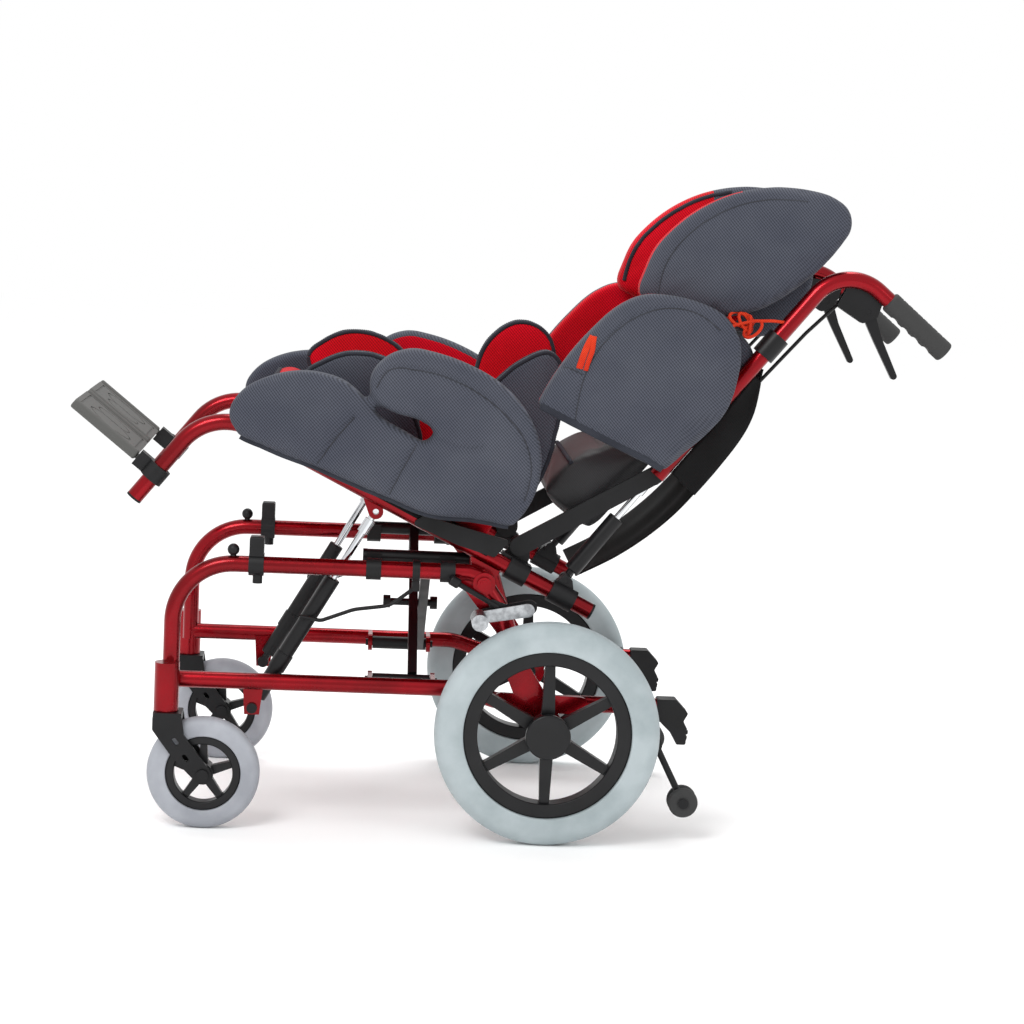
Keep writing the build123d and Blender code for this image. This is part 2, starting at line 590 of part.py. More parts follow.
def push_grip():
    """Handle grip with finger grooves below and ribs above."""
    start, end = grip_at(GRIP_START), grip_at(GRIP_START + GRIP_L)
    body = rod_between(start, end, -SEAT_Y, GRIP_R)
    body = fillet(body.edges(), 4)
    for index in range(4):
        place = grip_at(GRIP_START + 24 + index * 19, -GRIP_R - 8)
        body -= rod_y(place, 10.5, -SEAT_Y - 20, -SEAT_Y + 20)
    for index in range(9):
        place = grip_at(GRIP_START + 14 + index * 9, GRIP_R + 0.6)
        body -= rod_y(place, 1.6, -SEAT_Y - 20, -SEAT_Y + 20)
    return body - rod_between(along(start, GRIP_SLOPE, -1), grip_at(GRIP_START + GRIP_L - 5.5), -SEAT_Y, TUBE_R + 0.05)


def back_link():
    """Steel link from the back's pivot to the foot of the cane."""
    body = slab(link_shape(BACK_PIVOT, CANE_FOOT, 13, 12) + link_shape(back_at(-4, 0), back_at(52, 0), 11, 10),
                -LINK_Y, -LINK_Y + LINK_T)
    for place in (back_at(26, 0), back_at(46, 0)):
        body += rod_y(place, 4, -LINK_Y - 0.6, -LINK_Y + LINK_T + 3)
    body += rod_y(BACK_PIVOT, BACK_PIN_R, -LINK_Y + LINK_T - 1, -LINK_Y + LINK_T + SIDE_GAP + 9)
    eye_in = -RECLINE_Y - EYE_T / 2 - SIDE_GAP
    if eye_in > -LINK_Y + LINK_T:
        body += rod_y(CANE_FOOT, EYE_R, -LINK_Y + LINK_T - 1, eye_in)
    return body


def cane_strap(distance, length, reach):
    """Moulded clamp round the cane that holds the back's sling."""
    body = rod_between(back_at(distance, 0), back_at(distance + length, 0), -SEAT_Y, TUBE_R + 4.5)
    mid = back_at(distance + length / 2, 0)
    body += Pos(mid[0], -SEAT_Y + reach / 2, mid[1]) * Rot(0, -CANE_SLOPE, 0) * Box(length, reach, 12)
    return body - rod_between(back_at(distance - 9, 0), back_at(distance + length + 9, 0), -SEAT_Y, TUBE_R + 0.05)


def lever_housing():
    """Bracket under the handle bend that the release lever turns in."""
    wall_y = -LEVER_Y - LEVER_T / 2 - SIDE_GAP
    outline = polygon([(366, 729), (402, 707), (422, 716), (430, 742), (408, 752), (380, 756)])
    outline = fillet(outline.vertices(), 4.0)
    inner_y = -LEVER_Y + LEVER_T / 2 + SIDE_GAP
    body = slab(outline, inner_y, inner_y + 3)
    body += slab(outline, wall_y - 3, wall_y)
    back = polygon([(368, 728), (378, 722), (392, 754), (381, 756)])
    body += slab(back, wall_y - 3, inner_y + 3)
    for y_low in (inner_y - 1, wall_y - 4):
        body -= rod_y(LEVER_PIVOT, EYE_PIN_R + FIT, y_low, y_low + 5)
    cane = route([CANE_FOOT, CANE_CORNER, grip_at(GRIP_START + GRIP_L)], -SEAT_Y, CANE_BEND)
    return body - sweep_round(cane, TUBE_R + 0.1)


def cane_cable():
    """Release cable from the lever housing down the inner side of the cane to the strut."""
    radius = 2.5
    cable_y, ferrule_r = -151.0, 4.5
    points = [(372, 732), (330, 690), (262, 612), (190, 520), (168, 494)]
    path = route(points, cable_y, [40, 60, 60])
    housing_face = -LEVER_Y + LEVER_T / 2 + SIDE_GAP + 3
    ferrule = rod_y(points[0], ferrule_r, housing_face, cable_y + radius + 1)
    return sweep_round(path, radius) + ferrule


def back_fittings():
    """Links, clamps, lever housing and cable on one back cane."""
    pieces = [back_link(), cane_strap(214, 34, 12), lever_housing(), cane_cable()]
    return group(pieces)


def release_lever():
    """Hand lever under the push handle."""
    bend = (LEVER_PIVOT[0] + 14, LEVER_PIVOT[1] - 34)
    outline = link_shape(LEVER_PIVOT, bend, 9, 6) + link_shape(bend, LEVER_TIP, 6, 4.5)
    body = slab(outline, -LEVER_Y - LEVER_T / 2, -LEVER_Y + LEVER_T / 2)
    pin_half = LEVER_T / 2 + SIDE_GAP + 2.5
    return body + rod_y(LEVER_PIVOT, EYE_PIN_R, -LEVER_Y - pin_half, -LEVER_Y + pin_half)


# ---------------------------------------------------------------------------------------- struts
def strut_cylinder(low, high, y, length, radius, rod_r, pin_out, head_t):
    """Gas strut body with its lower eye, pin, pin head and rod bore."""
    slope = slope_between(low, high)
    eye = rod_y(low, EYE_R, y - EYE_T / 2, y + EYE_T / 2)
    neck = rod_between(low, along(low, slope, 16), y, 5)
    barrel = rod_between(along(low, slope, 14), along(low, slope, length), y, radius)
    barrel = fillet(barrel.edges(), 1.5)
    pin = rod_y(low, EYE_PIN_R, y - pin_out, y)
    if head_t:
        pin += rod_y(low, EYE_PIN_R + 3, y - pin_out - head_t, y - pin_out)
    bore = rod_between(along(low, slope, 20), along(low, slope, length + 5), y, rod_r + FIT)
    return eye + neck + barrel + pin - bore


def strut_rod(low, high, y, length, overlap, radius):
    """Gas strut rod with its upper eye, which lies beside its bracket."""
    slope = slope_between(low, high)
    rod = rod_between(along(low, slope, length - overlap), along(high, slope, -3), y, radius)
    fitting = rod_between(along(high, slope, -34), along(high, slope, -14), y, radius + 2.5)
    return rod + fitting + rod_y(high, EYE_R, y - EYE_T / 2, y + EYE_T / 2)


def tilt_cylinder():
    """Tilt strut body with its valve head fitting."""
    low, high = TILT_STRUT_LOW, TILT_STRUT_HIGH
    slope = slope_between(low, high)
    body = strut_cylinder(low, high, -STRUT_Y, TILT_CYL_L, TILT_CYL_R, TILT_ROD_R,
                          TILT_CYL_R + 3 * SIDE_GAP + 6, 4)
    body += rod_y(low, EYE_PIN_R + 2, -STRUT_Y - TILT_CYL_R - SIDE_GAP, -STRUT_Y)
    collar = rod_between(along(low, slope, 60), along(low, slope, 84), -STRUT_Y, TILT_CYL_R + 1.4)
    collar -= rod_between(along(low, slope, 50), along(low, slope, 90), -STRUT_Y, TILT_CYL_R - 1)
    return body + collar


def tilt_rod():
    """Tilt strut rod."""
    return strut_rod(TILT_STRUT_LOW, TILT_STRUT_HIGH, -STRUT_Y, TILT_CYL_L, 90, TILT_ROD_R)


def recline_cylinder():
    """Recline strut body."""
    return strut_cylinder(RECLINE_LOW, CANE_FOOT, -RECLINE_Y, RECLINE_CYL_L, RECLINE_CYL_R, RECLINE_ROD_R,
                          SEAT_Y - RECLINE_Y - 1, 0)


def recline_rod():
    """Recline strut rod."""
    return strut_rod(RECLINE_LOW, CANE_FOOT, -RECLINE_Y, RECLINE_CYL_L, 60, RECLINE_ROD_R)


# ------------------------------------------------------------------------- brake and anti-tip arm
def brake_lever():
    """Brake handle with its pivot pin and ball end."""
    face = -BRAKE_Y
    handle_y = face - 4.5
    slope = slope_between(BRAKE_PIVOT, BRAKE_TIP)
    elbow = between(BRAKE_PIVOT, BRAKE_TIP, 0.25)
    knob = rod_between(along(BRAKE_TIP, slope, -8), along(BRAKE_TIP, slope, 7), handle_y, 7)
    body = slab(link_shape(BRAKE_PIVOT, elbow, 9, 6), face - 4, face)
    body += rod_between(between(BRAKE_PIVOT, BRAKE_TIP, 0.15), BRAKE_TIP, handle_y, 3.6)
    body += fillet(knob.edges(), 3.0)
    return body + rod_y(BRAKE_PIVOT, EYE_PIN_R, face - 6, face + 4.6)


def brake_shoe():
    """Brake arm with the roller that presses on the tyre."""
    face = -BRAKE_Y
    body = slab(link_shape(SHOE_PIVOT, SHOE_AT, 9, 8), face - 14, face - 10)
    body += rod_y(SHOE_PIVOT, EYE_PIN_R, face - 14, face + 4.6)
    return body + rod_y(SHOE_AT, SHOE_R, -WHEEL_Y - 14, face - 10)


def antitip_bracket():
    """Bracket under the tipping tube that the anti-tip arm turns in."""
    outer = -ANTITIP_Y + ANTITIP_ARM_IN + SIDE_GAP
    x, z = ANTITIP_PIVOT
    body = Pos(x - 8, -FRAME_Y, TIPPER_Z) * Rot(0, 90, 0) * Cylinder(TUBE_R + 2.5, 26)
    body += Pos(x - 2, (outer - FRAME_Y) / 2, z) * Box(16, -outer - FRAME_Y, 14)
    body += rod_y(ANTITIP_PIVOT, 9, outer, outer + 8)
    body -= rod_x(TUBE_R + 0.05, x - 40, x + 40, -FRAME_Y, TIPPER_Z)
    return body - rod_y(ANTITIP_PIVOT, EYE_PIN_R + FIT, outer - 1, outer + 9)


def antitip_arm():
    """Anti-tip arm with its pivot pin and the axle of its twin wheels."""
    y = -ANTITIP_Y
    body = slab(link_shape(ANTITIP_PIVOT, between(ANTITIP_PIVOT, ANTITIP_WHEEL, 0.3), 11, 8), y - 4.5,
                y + ANTITIP_ARM_IN)
    body += rod_between(between(ANTITIP_PIVOT, ANTITIP_WHEEL, 0.2), ANTITIP_WHEEL, y, 4.5)
    body += rod_y(ANTITIP_WHEEL, 7, y - 4, y + 4)
    body += rod_y(ANTITIP_PIVOT, EYE_PIN_R, y, y + ANTITIP_ARM_IN + SIDE_GAP + 8)
    body += rod_y(ANTITIP_WHEEL, EYE_PIN_R, y - 17, y + 17)
    for side in (-1, 1):
        low = y + side * 16 - 1
        body += rod_y(ANTITIP_WHEEL, 7, low, low + 2)
    return body


def antitip_wheels():
    """Twin anti-tip wheels either side of the arm, joined at the rim by nothing but their axle."""
    pieces = []
    for side in (-1, 1):
        mid = -ANTITIP_Y + side * 9.6
        disc = rod_y(ANTITIP_WHEEL, ANTITIP_R, mid - 4.6, mid + 4.6)
        disc = fillet(disc.edges(), 3)
        pieces.append(disc - rod_y(ANTITIP_WHEEL, EYE_PIN_R + FIT, mid - 6, mid + 6))
    return group(pieces)


# --------------------------------------------------------------------------------------- padding
def side_cushion():
    """Padded side panel with the front lobe and the armrest, outside the seat tube."""
    lobe = soft_outline([(-428, 556), (-392, 600), (-340, 613), (-285, 602), (-236, 560), (-176, 530),
                         (-150, 470), (-190, 438), (-300, 482), (-405, 520)])
    arm = soft_outline([(-246, 612), (-203, 648), (-125, 630), (-62, 592), (-28, 530), (-28, 470),
                        (-62, 424), (-130, 434), (-182, 440), (-200, 480), (-164, 535), (-172, 560),
                        (-226, 566)])
    return slab(lobe + arm, -PAD_OUTER_Y, -PAD_INNER_Y)


def inner_pads():
    """Thigh pad and hip pad that stand beside the seat cushion."""
    thigh = soft_outline([(-345, 616), (-292, 652), (-240, 648), (-200, 618), seat_at(-84, SEAT_PAD_T + 6),
                          seat_at(-190, SEAT_PAD_T + 4), seat_at(-262, SEAT_PAD_T + 10)])
    hip = soft_outline([(-104, 600), (-86, 648), (-38, 679), (2, 662), (16, 625), (2, 540),
                        seat_at(92, SEAT_PAD_T + 8), seat_at(52, SEAT_PAD_T + 8)])
    keep_out = offset(seat_pad_outline(), SOFT_GAP) + offset(back_pad_outline(), SOFT_GAP)
    pieces = [slab(shape - keep_out, -INNER_PAD_Y[1], -INNER_PAD_Y[0]) for shape in (thigh, hip)]
    return group(pieces)


def seat_sling():
    """Fabric sling between the seat tubes."""
    low, high = TUBE_R + 1, TUBE_R + 1 + SLING_T
    outline = polygon([seat_at(-300, low), seat_at(52, low), seat_at(52, high), seat_at(-300, high)])
    return slab(outline, -SEAT_Y, SEAT_Y)


def seat_pad_outline():
    """Side outline of the seat cushion, with its raised front roll."""
    low = TUBE_R + 1 + SLING_T + SOFT_GAP / 2
    outline = polygon([seat_at(-312, low), seat_at(48, low), seat_at(48, SEAT_PAD_T - 8),
                       seat_at(-180, SEAT_PAD_T), seat_at(-270, SEAT_PAD_T + 8), seat_at(-312, SEAT_PAD_T + 14)])
    return fillet(outline.vertices(), 9.0)


def seat_cushion():
    """Seat cushion on the sling."""
    return slab(seat_pad_outline(), -SEAT_PAD_HALF_W, SEAT_PAD_HALF_W)


def back_pad_outline():
    """Side outline of the padded back, with its lumbar roll."""
    front = BACK_PAD_BACK + BACK_PAD_T
    outline = polygon([back_at(-118, BACK_PAD_BACK), back_at(BACK_PAD_TOP, BACK_PAD_BACK),
                       back_at(BACK_PAD_TOP, front),
                       back_at(20, front), back_at(-60, front + 40), back_at(-125, front + 40)])
    return fillet(outline.vertices(), 12.0)


def back_cushion():
    """Padded back between the trunk pads."""
    front = BACK_PAD_BACK + BACK_PAD_T
    ends = (BACK_PAD_WIDE_FROM, BACK_PAD_WIDE_TO)
    wide = polygon([back_at(ends[0], BACK_PAD_BACK), back_at(ends[1], BACK_PAD_BACK),
                    back_at(ends[1], front), back_at(ends[0], front)])
    wide = fillet(wide.vertices(), 12.0)
    body = slab(back_pad_outline(), -BACK_PAD_HALF_W, BACK_PAD_HALF_W)
    return body + slab(wide, -BACK_PAD_WIDE_W, BACK_PAD_WIDE_W)


def back_sling():
    """Fabric sling that hangs behind the canes."""
    near, far = -TUBE_R - 0.6, -TUBE_R - 0.6 - SLING_T
    outer = [back_at(200, far), back_at(150, -52), back_at(60, -62), back_at(-40, -58), back_at(-120, -40),
             back_at(-178, -16)]
    inner = [back_at(-172, -12), back_at(-118, -35), back_at(-40, -53), back_at(60, -57), back_at(148, -47),
             back_at(194, near)]
    edge = Spline(*outer) + Line(outer[-1], inner[0]) + Spline(*inner) + Line(inner[-1], outer[0])
    hem = polygon([back_at(180, near), back_at(200, near), back_at(200, far), back_at(180, far)])
    half = BACK_PAD_HALF_W - 14
    return slab(make_face(edge), -half, half) + slab(hem, -SEAT_Y - 6, SEAT_Y + 6)


def trunk_pad():
    """Padded side support beside the trunk, outside the cane."""
    outline = soft_outline([(-28, 584), (8, 646), (70, 722), (130, 734), (200, 716), (230, 676), (227, 610),
                            (200, 556), (141, 504), (50, 545)])
    return slab(outline, -PAD_OUTER_Y + 2, -PAD_INNER_Y)


def head_cushion():
    """Head cushion with a wing each side."""
    wing = soft_outline([(102, 740), (122, 803), (176, 851), (262, 879), (336, 879), (378, 850), (370, 815),
                         (318, 758), (250, 717), (150, 706)])
    low = BACK_PAD_TOP + 0.6
    middle = polygon([back_at(low, 16), back_at(372, 16), back_at(372, 74), back_at(low, 74)])
    middle = fillet(middle.vertices(), 16.0)
    body = slab(wing, WING_Y[0], WING_Y[1]) + slab(wing, -WING_Y[1], -WING_Y[0])
    return body + slab(middle, -WING_Y[0] - 2, WING_Y[0] + 2)


# --------------------------------------------------------------------------------------- assembly
def cable_set():
    """Release cable held between the tilt strut's valve and the upper rail."""
    points = [(-334, 284), (-306, 279), (-262, 296), (-214, 303), (-180, 330)]
    path = route(points, -CABLE_Y, [16, 60, 40])
    clip = rod_x(TUBE_R + 3, -186, -176, -FRAME_Y, UPPER_RAIL_Z)
    clip += Pos(-181, -CABLE_Y, 334) * Box(10, 9, 20)
    clip -= rod_x(TUBE_R, -190, -170, -FRAME_Y, UPPER_RAIL_Z)
    return group([sweep_round(path, CABLE_R), clip - sweep_round(path, CABLE_R)])


LEFT_BUILDERS = {
    "side_frame": side_frame, "frame_fittings": frame_fittings, "rear_wheel": rear_wheel,
    "rear_tyre": lambda: Pos(0, -WHEEL_Y, WHEEL_R) * tyre(WHEEL_R, WHEEL_RIM_R, TYRE_W, 17.0),
    "caster_fork": caster_fork,
    "caster_rim": lambda: Pos(CASTER_X, -CASTER_Y, CASTER_R) * spoked_rim(
        CASTER_RIM_R, 39.0, 22.0, 14.0, CASTER_TYRE_W + 5, CASTER_AXLE_R + FIT, CASTER_SPOKES, 9.0),
    "caster_tyre": lambda: Pos(CASTER_X, -CASTER_Y, CASTER_R) * tyre(CASTER_R, CASTER_RIM_R, CASTER_TYRE_W, 11.0),
    "seat_tube": seat_tube, "seat_fittings": seat_fittings, "footplate": footplate,
    "back_cane": back_cane, "push_grip": push_grip, "back_fittings": back_fittings,
    "release_lever": release_lever, "tilt_cylinder": tilt_cylinder, "tilt_rod": tilt_rod,
    "recline_cylinder": recline_cylinder, "recline_rod": recline_rod, "brake_lever": brake_lever,
    "brake_shoe": brake_shoe, "antitip_arm": antitip_arm, "antitip_wheels": antitip_wheels,
    "side_cushion": side_cushion, "inner_pads": inner_pads, "trunk_pad": trunk_pad, "cables": cable_set,
}

MIDDLE_BUILDERS = {
    "brace_a": lambda: brace(-1), "brace_b": lambda: brace(1), "seat_sling": seat_sling,
    "seat_cushion": seat_cushion, "back_cushion": back_cushion, "back_sling": back_sling,
    "head_cushion": head_cushion,
}


def build_parts():
    """Every node by name, with X measured from the rear axle."""
    parts = {}
    for name, builder in LEFT_BUILDERS.items():
        left = builder()
        parts[name + "_left"] = left
        parts[name + "_right"] = left.mirror(Plane.XZ)
    for name, builder in MIDDLE_BUILDERS.items():
        parts[name] = builder()
    return parts


def main():
    """Centre the parts on the origin and write one STEP file each."""
    parts = build_parts()
    low = min(shape.bounding_box().min.X for shape in parts.values())
    high = max(shape.bounding_box().max.X for shape in parts.values())
    shift = -(low + high) / 2
    os.makedirs("parts", exist_ok=True)
    for name, shape in parts.items():
        export_step(Pos(shift, 0, 0) * shape, f"parts/{name}.step")
    print(f"{len(parts)} nodes, shift {shift:.3f}, length {high - low:.1f}")


if __name__ == "__main__":
    main()
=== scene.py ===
"""Looks of a folding tilt-in-space wheelchair, built around its fixed frame.

Lengths are millimetres until they reach a mesh, X is measured from the rear axle towards the push
handles, Z is the height above the floor and the left side is at negative Y, as on the real chair.
"""
import logging
import math
from dataclasses import dataclass, field
from enum import Enum
from typing import Any, Sequence

import bmesh
import bpy
import numpy as np
from mathutils import Matrix, Vector
from mathutils.bvhtree import BVHTree


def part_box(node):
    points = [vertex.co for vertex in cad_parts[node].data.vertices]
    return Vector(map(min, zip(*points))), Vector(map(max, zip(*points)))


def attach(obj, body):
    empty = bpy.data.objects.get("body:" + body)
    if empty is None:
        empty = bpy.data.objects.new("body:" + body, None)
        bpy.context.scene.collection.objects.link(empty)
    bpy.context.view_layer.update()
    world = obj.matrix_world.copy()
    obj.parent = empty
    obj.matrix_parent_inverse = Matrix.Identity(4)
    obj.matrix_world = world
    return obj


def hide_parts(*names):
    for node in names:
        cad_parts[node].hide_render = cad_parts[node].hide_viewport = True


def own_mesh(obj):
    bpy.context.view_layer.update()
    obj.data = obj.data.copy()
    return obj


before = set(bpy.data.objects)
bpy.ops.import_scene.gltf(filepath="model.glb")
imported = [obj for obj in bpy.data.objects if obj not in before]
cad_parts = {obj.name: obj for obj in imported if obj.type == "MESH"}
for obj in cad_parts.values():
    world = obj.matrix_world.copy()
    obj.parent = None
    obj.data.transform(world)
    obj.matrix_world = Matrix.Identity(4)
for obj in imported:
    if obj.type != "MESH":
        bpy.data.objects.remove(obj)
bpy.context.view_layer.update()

log = logging.getLogger("wheelchair")

MM = 0.001
TYRE_LOW, TYRE_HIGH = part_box("rear_tyre_left")
AXLE_X = (TYRE_LOW.x + TYRE_HIGH.x) / 2
Point = tuple[float, float]
Path3 = list[Vector]


class Side(Enum):
    """The two sides of the chair, as the sign of Y."""

    LEFT = -1
    RIGHT = 1

    @property
    def word(self) -> str:
        """Side's name as it ends a node's name."""
        return self.name.lower()


def place(x: float, y: float, z: float) -> Vector:
    """Point in metres in the frame from millimetres measured from the axle."""
    return Vector((AXLE_X + x * MM, y * MM, z * MM))


def along(start: Point, slope_deg: float, distance: float, offset: float = 0.0) -> Point:
    """Point at a distance along a sloping line.

    Args:
        start: where the line starts, as X and Z.
        slope_deg: slope of the line in degrees.
        distance: distance along the line.
        offset: distance to the left of the line.

    Returns:
        The point's X and Z.
    """
    c, s = math.cos(math.radians(slope_deg)), math.sin(math.radians(slope_deg))
    return start[0] + distance * c - offset * s, start[1] + distance * s + offset * c


@dataclass(frozen=True)
class ChairLayout:
    """Lines of the chair that the padding follows."""

    seat_ref: Point = (-134.6, 398.3)
    seat_tilt: float = 26.3
    cane_foot: Point = (136.0, 491.0)
    cane_slope: float = 51.5
    seat_y: float = 175.0
    tube_r: float = 11.1

    def seat(self, distance: float, height: float) -> Point:
        """Point by its distance along the seat tube and its height above it."""
        return along(self.seat_ref, -self.seat_tilt, distance, height)

    def back(self, distance: float, depth: float) -> Point:
        """Point by its distance up the back cane and its depth in front of it."""
        return along(self.cane_foot, self.cane_slope, distance, depth)


CHAIR = ChairLayout()


# ------------------------------------------------------------------------------ colours and nodes
def linear(code: str) -> tuple[float, float, float, float]:
    """Linear colour of an sRGB hex code.

    Args:
        code: six hex digits after a #.

    Returns:
        Red, green, blue and an alpha of 1.
    """
    parts = [int(code[i : i + 2], 16) / 255 for i in (1, 3, 5)]
    r, g, b = (c / 12.92 if c <= 0.04045 else ((c + 0.055) / 1.055) ** 2.4 for c in parts)
    return r, g, b, 1.0


def add_node(tree: Any, kind: str, settings: dict | None = None, links: dict | None = None) -> Any:
    """Adds a shader node with its settings and links.

    Args:
        tree: node tree that it goes in.
        kind: Blender's class name of the node.
        settings: values by property name, or by an input's name or number.
        links: output sockets by the input that they go to.

    Returns:
        The new node.
    """
    node = tree.nodes.new(kind)
    for key, value in (settings or {}).items():
        if isinstance(key, str) and hasattr(node, key):
            setattr(node, key, value)
        else:
            node.inputs[key].default_value = value
    for key, socket in (links or {}).items():
        tree.links.new(socket, node.inputs[key])
    return node


def waves_for(pitch_mm: float) -> float:
    """Wave texture scale whose bands repeat every so many millimetres."""
    return 2 * math.pi / 20 / (pitch_mm * MM)


def grain_for(size_mm: float) -> float:
    """Noise texture scale whose grain is about so many millimetres."""
    return 1 / (size_mm * MM)


@dataclass(frozen=True)
class Finish:
    """What every finish has: a real material's name, two shades and its gloss."""

    label: str
    shade: str
    light: str
    roughness: float
    mottle_mm: float = 60.0
    ior: float = 1.5
    metallic: float = 0.0
    coat: float = 0.0
    sheen: float = 0.0

    def material(self) -> bpy.types.Material:
        """The Blender material of this finish, made once."""
        found = bpy.data.materials.get(self.label)
        return found or self.make()

    def make(self) -> bpy.types.Material:
        """Makes the material with its shader, colours and relief."""
        made = bpy.data.materials.new(self.label)
        made.use_nodes = True
        made.diffuse_color = linear(self.light)
        tree = made.node_tree
        tree.nodes.clear()
        shader = add_node(
            tree, "ShaderNodeBsdfPrincipled", {"Roughness": self.roughness, "Metallic": self.metallic}
        )
        if not self.metallic:
            shader.inputs["IOR"].default_value = self.ior
        if self.coat:
            shader.inputs["Coat Weight"].default_value = self.coat
            shader.inputs["Coat Roughness"].default_value = 0.05
        if self.sheen:
            shader.inputs["Sheen Weight"].default_value = self.sheen
            shader.inputs["Sheen Roughness"].default_value = 0.45
        add_node(tree, "ShaderNodeOutputMaterial", links={"Surface": shader.outputs[0]})
        spot = add_node(tree, "ShaderNodeTexCoord").outputs["Object"]
        self.dress(tree, shader, spot)
        return made

    def mottled(
        self, tree: Any, spot: Any, shade: str, light: str, low: float = 0.38, high: float = 0.62
    ) -> Any:
        """Colour that drifts between two shades.

        Args:
            tree: node tree.
            spot: coordinates that the pattern follows.
            shade: darker hex colour.
            light: lighter hex colour.
            low: noise value that gives the darker one.
            high: noise value that gives the lighter one.

        Returns:
            The colour's socket.
        """
        noise = add_node(
            tree, "ShaderNodeTexNoise", {"Scale": grain_for(self.mottle_mm), "Detail": 4.0}, {"Vector": spot}
        )
        spread = add_node(tree, "ShaderNodeMapRange", {1: low, 2: high}, {0: noise.outputs[0]})
        mix = add_node(
            tree,
            "ShaderNodeMix",
            {"data_type": "RGBA", 6: linear(shade), 7: linear(light)},
            {0: spread.outputs[0]},
        )
        return mix.outputs[2]

    def dress(self, tree: Any, shader: Any, spot: Any) -> None:
        """Adds the colours and relief that this finish has."""
        tree.links.new(self.mottled(tree, spot, self.shade, self.light), shader.inputs["Base Color"])
        self.relief(tree, shader, spot)

    def relief(self, tree: Any, shader: Any, spot: Any) -> None:
        """Adds relief; a plain finish has none."""


@dataclass(frozen=True)
class Grained(Finish):
    """A finish with a fine even grain, as paint, powder and moulded parts have."""

    grain_mm: float = 1.2
    height_mm: float = 0.05
    gloss_drift: float = 0.06
    rub_mm: float = 35.0

    def relief(self, tree: Any, shader: Any, spot: Any) -> None:
        """Grain as bump, and a slow drift in gloss where hands and cloths have rubbed."""
        grain = add_node(
            tree, "ShaderNodeTexNoise", {"Scale": grain_for(self.grain_mm), "Detail": 3.0}, {"Vector": spot}
        )
        bump = add_node(
            tree,
            "ShaderNodeBump",
            {"Strength": 0.5, "Distance": self.height_mm * MM},
            {"Height": grain.outputs[0]},
        )
        tree.links.new(bump.outputs[0], shader.inputs["Normal"])
        rub = add_node(
            tree, "ShaderNodeTexNoise", {"Scale": grain_for(self.rub_mm), "Detail": 5.0}, {"Vector": spot}
        )
        gloss = add_node(
            tree,
            "ShaderNodeMapRange",
            {1: 0.3, 2: 0.7, 3: self.roughness - self.gloss_drift, 4: self.roughness + self.gloss_drift},
            {0: rub.outputs[0]},
        )
        tree.links.new(gloss.outputs[0], shader.inputs["Roughness"])


@dataclass(frozen=True)
class SolidTyre(Finish):
    """Solid polyurethane tyre: chalky, with fine moulding rings round the tread."""

    ring_mm: float = 4.5
    dust: str = "#8f9494"
    speck_mm: float = 9.0

    def dress(self, tree: Any, shader: Any, spot: Any) -> None:
        """Rings on the tread and a little dust where it rolls."""
        base = self.mottled(tree, spot, self.shade, self.light)
        normal = add_node(tree, "ShaderNodeNewGeometry").outputs["Normal"]
        parts = add_node(tree, "ShaderNodeSeparateXYZ", links={0: normal})
        flat = add_node(tree, "ShaderNodeMath", {"operation": "ABSOLUTE"}, {0: parts.outputs[1]})
        tread = add_node(tree, "ShaderNodeMapRange", {1: 0.75, 2: 0.35}, {0: flat.outputs[0]})
        rings = add_node(
            tree,
            "ShaderNodeTexWave",
            {"bands_direction": "Y", "Scale": waves_for(self.ring_mm), "Distortion": 0.0},
            {"Vector": spot},
        )
        depth = add_node(
            tree, "ShaderNodeMath", {"operation": "MULTIPLY"}, {0: rings.outputs[1], 1: tread.outputs[0]}
        )
        bump = add_node(
            tree, "ShaderNodeBump", {"Strength": 0.6, "Distance": 0.4 * MM}, {"Height": depth.outputs[0]}
        )
        tree.links.new(bump.outputs[0], shader.inputs["Normal"])
        specks = add_node(
            tree, "ShaderNodeTexNoise", {"Scale": grain_for(self.speck_mm), "Detail": 6.0}, {"Vector": spot}
        )
        patches = add_node(tree, "ShaderNodeMapRange", {1: 0.5, 2: 0.75, 4: 0.5}, {0: specks.outputs[0]})
        amount = add_node(
            tree, "ShaderNodeMath", {"operation": "MULTIPLY"}, {0: patches.outputs[0], 1: tread.outputs[0]}
        )
        mix = add_node(
            tree,
            "ShaderNodeMix",
            {"data_type": "RGBA", 7: linear(self.dust)},
            {0: amount.outputs[0], 6: base},
        )
        tree.links.new(mix.outputs[2], shader.inputs["Base Color"])


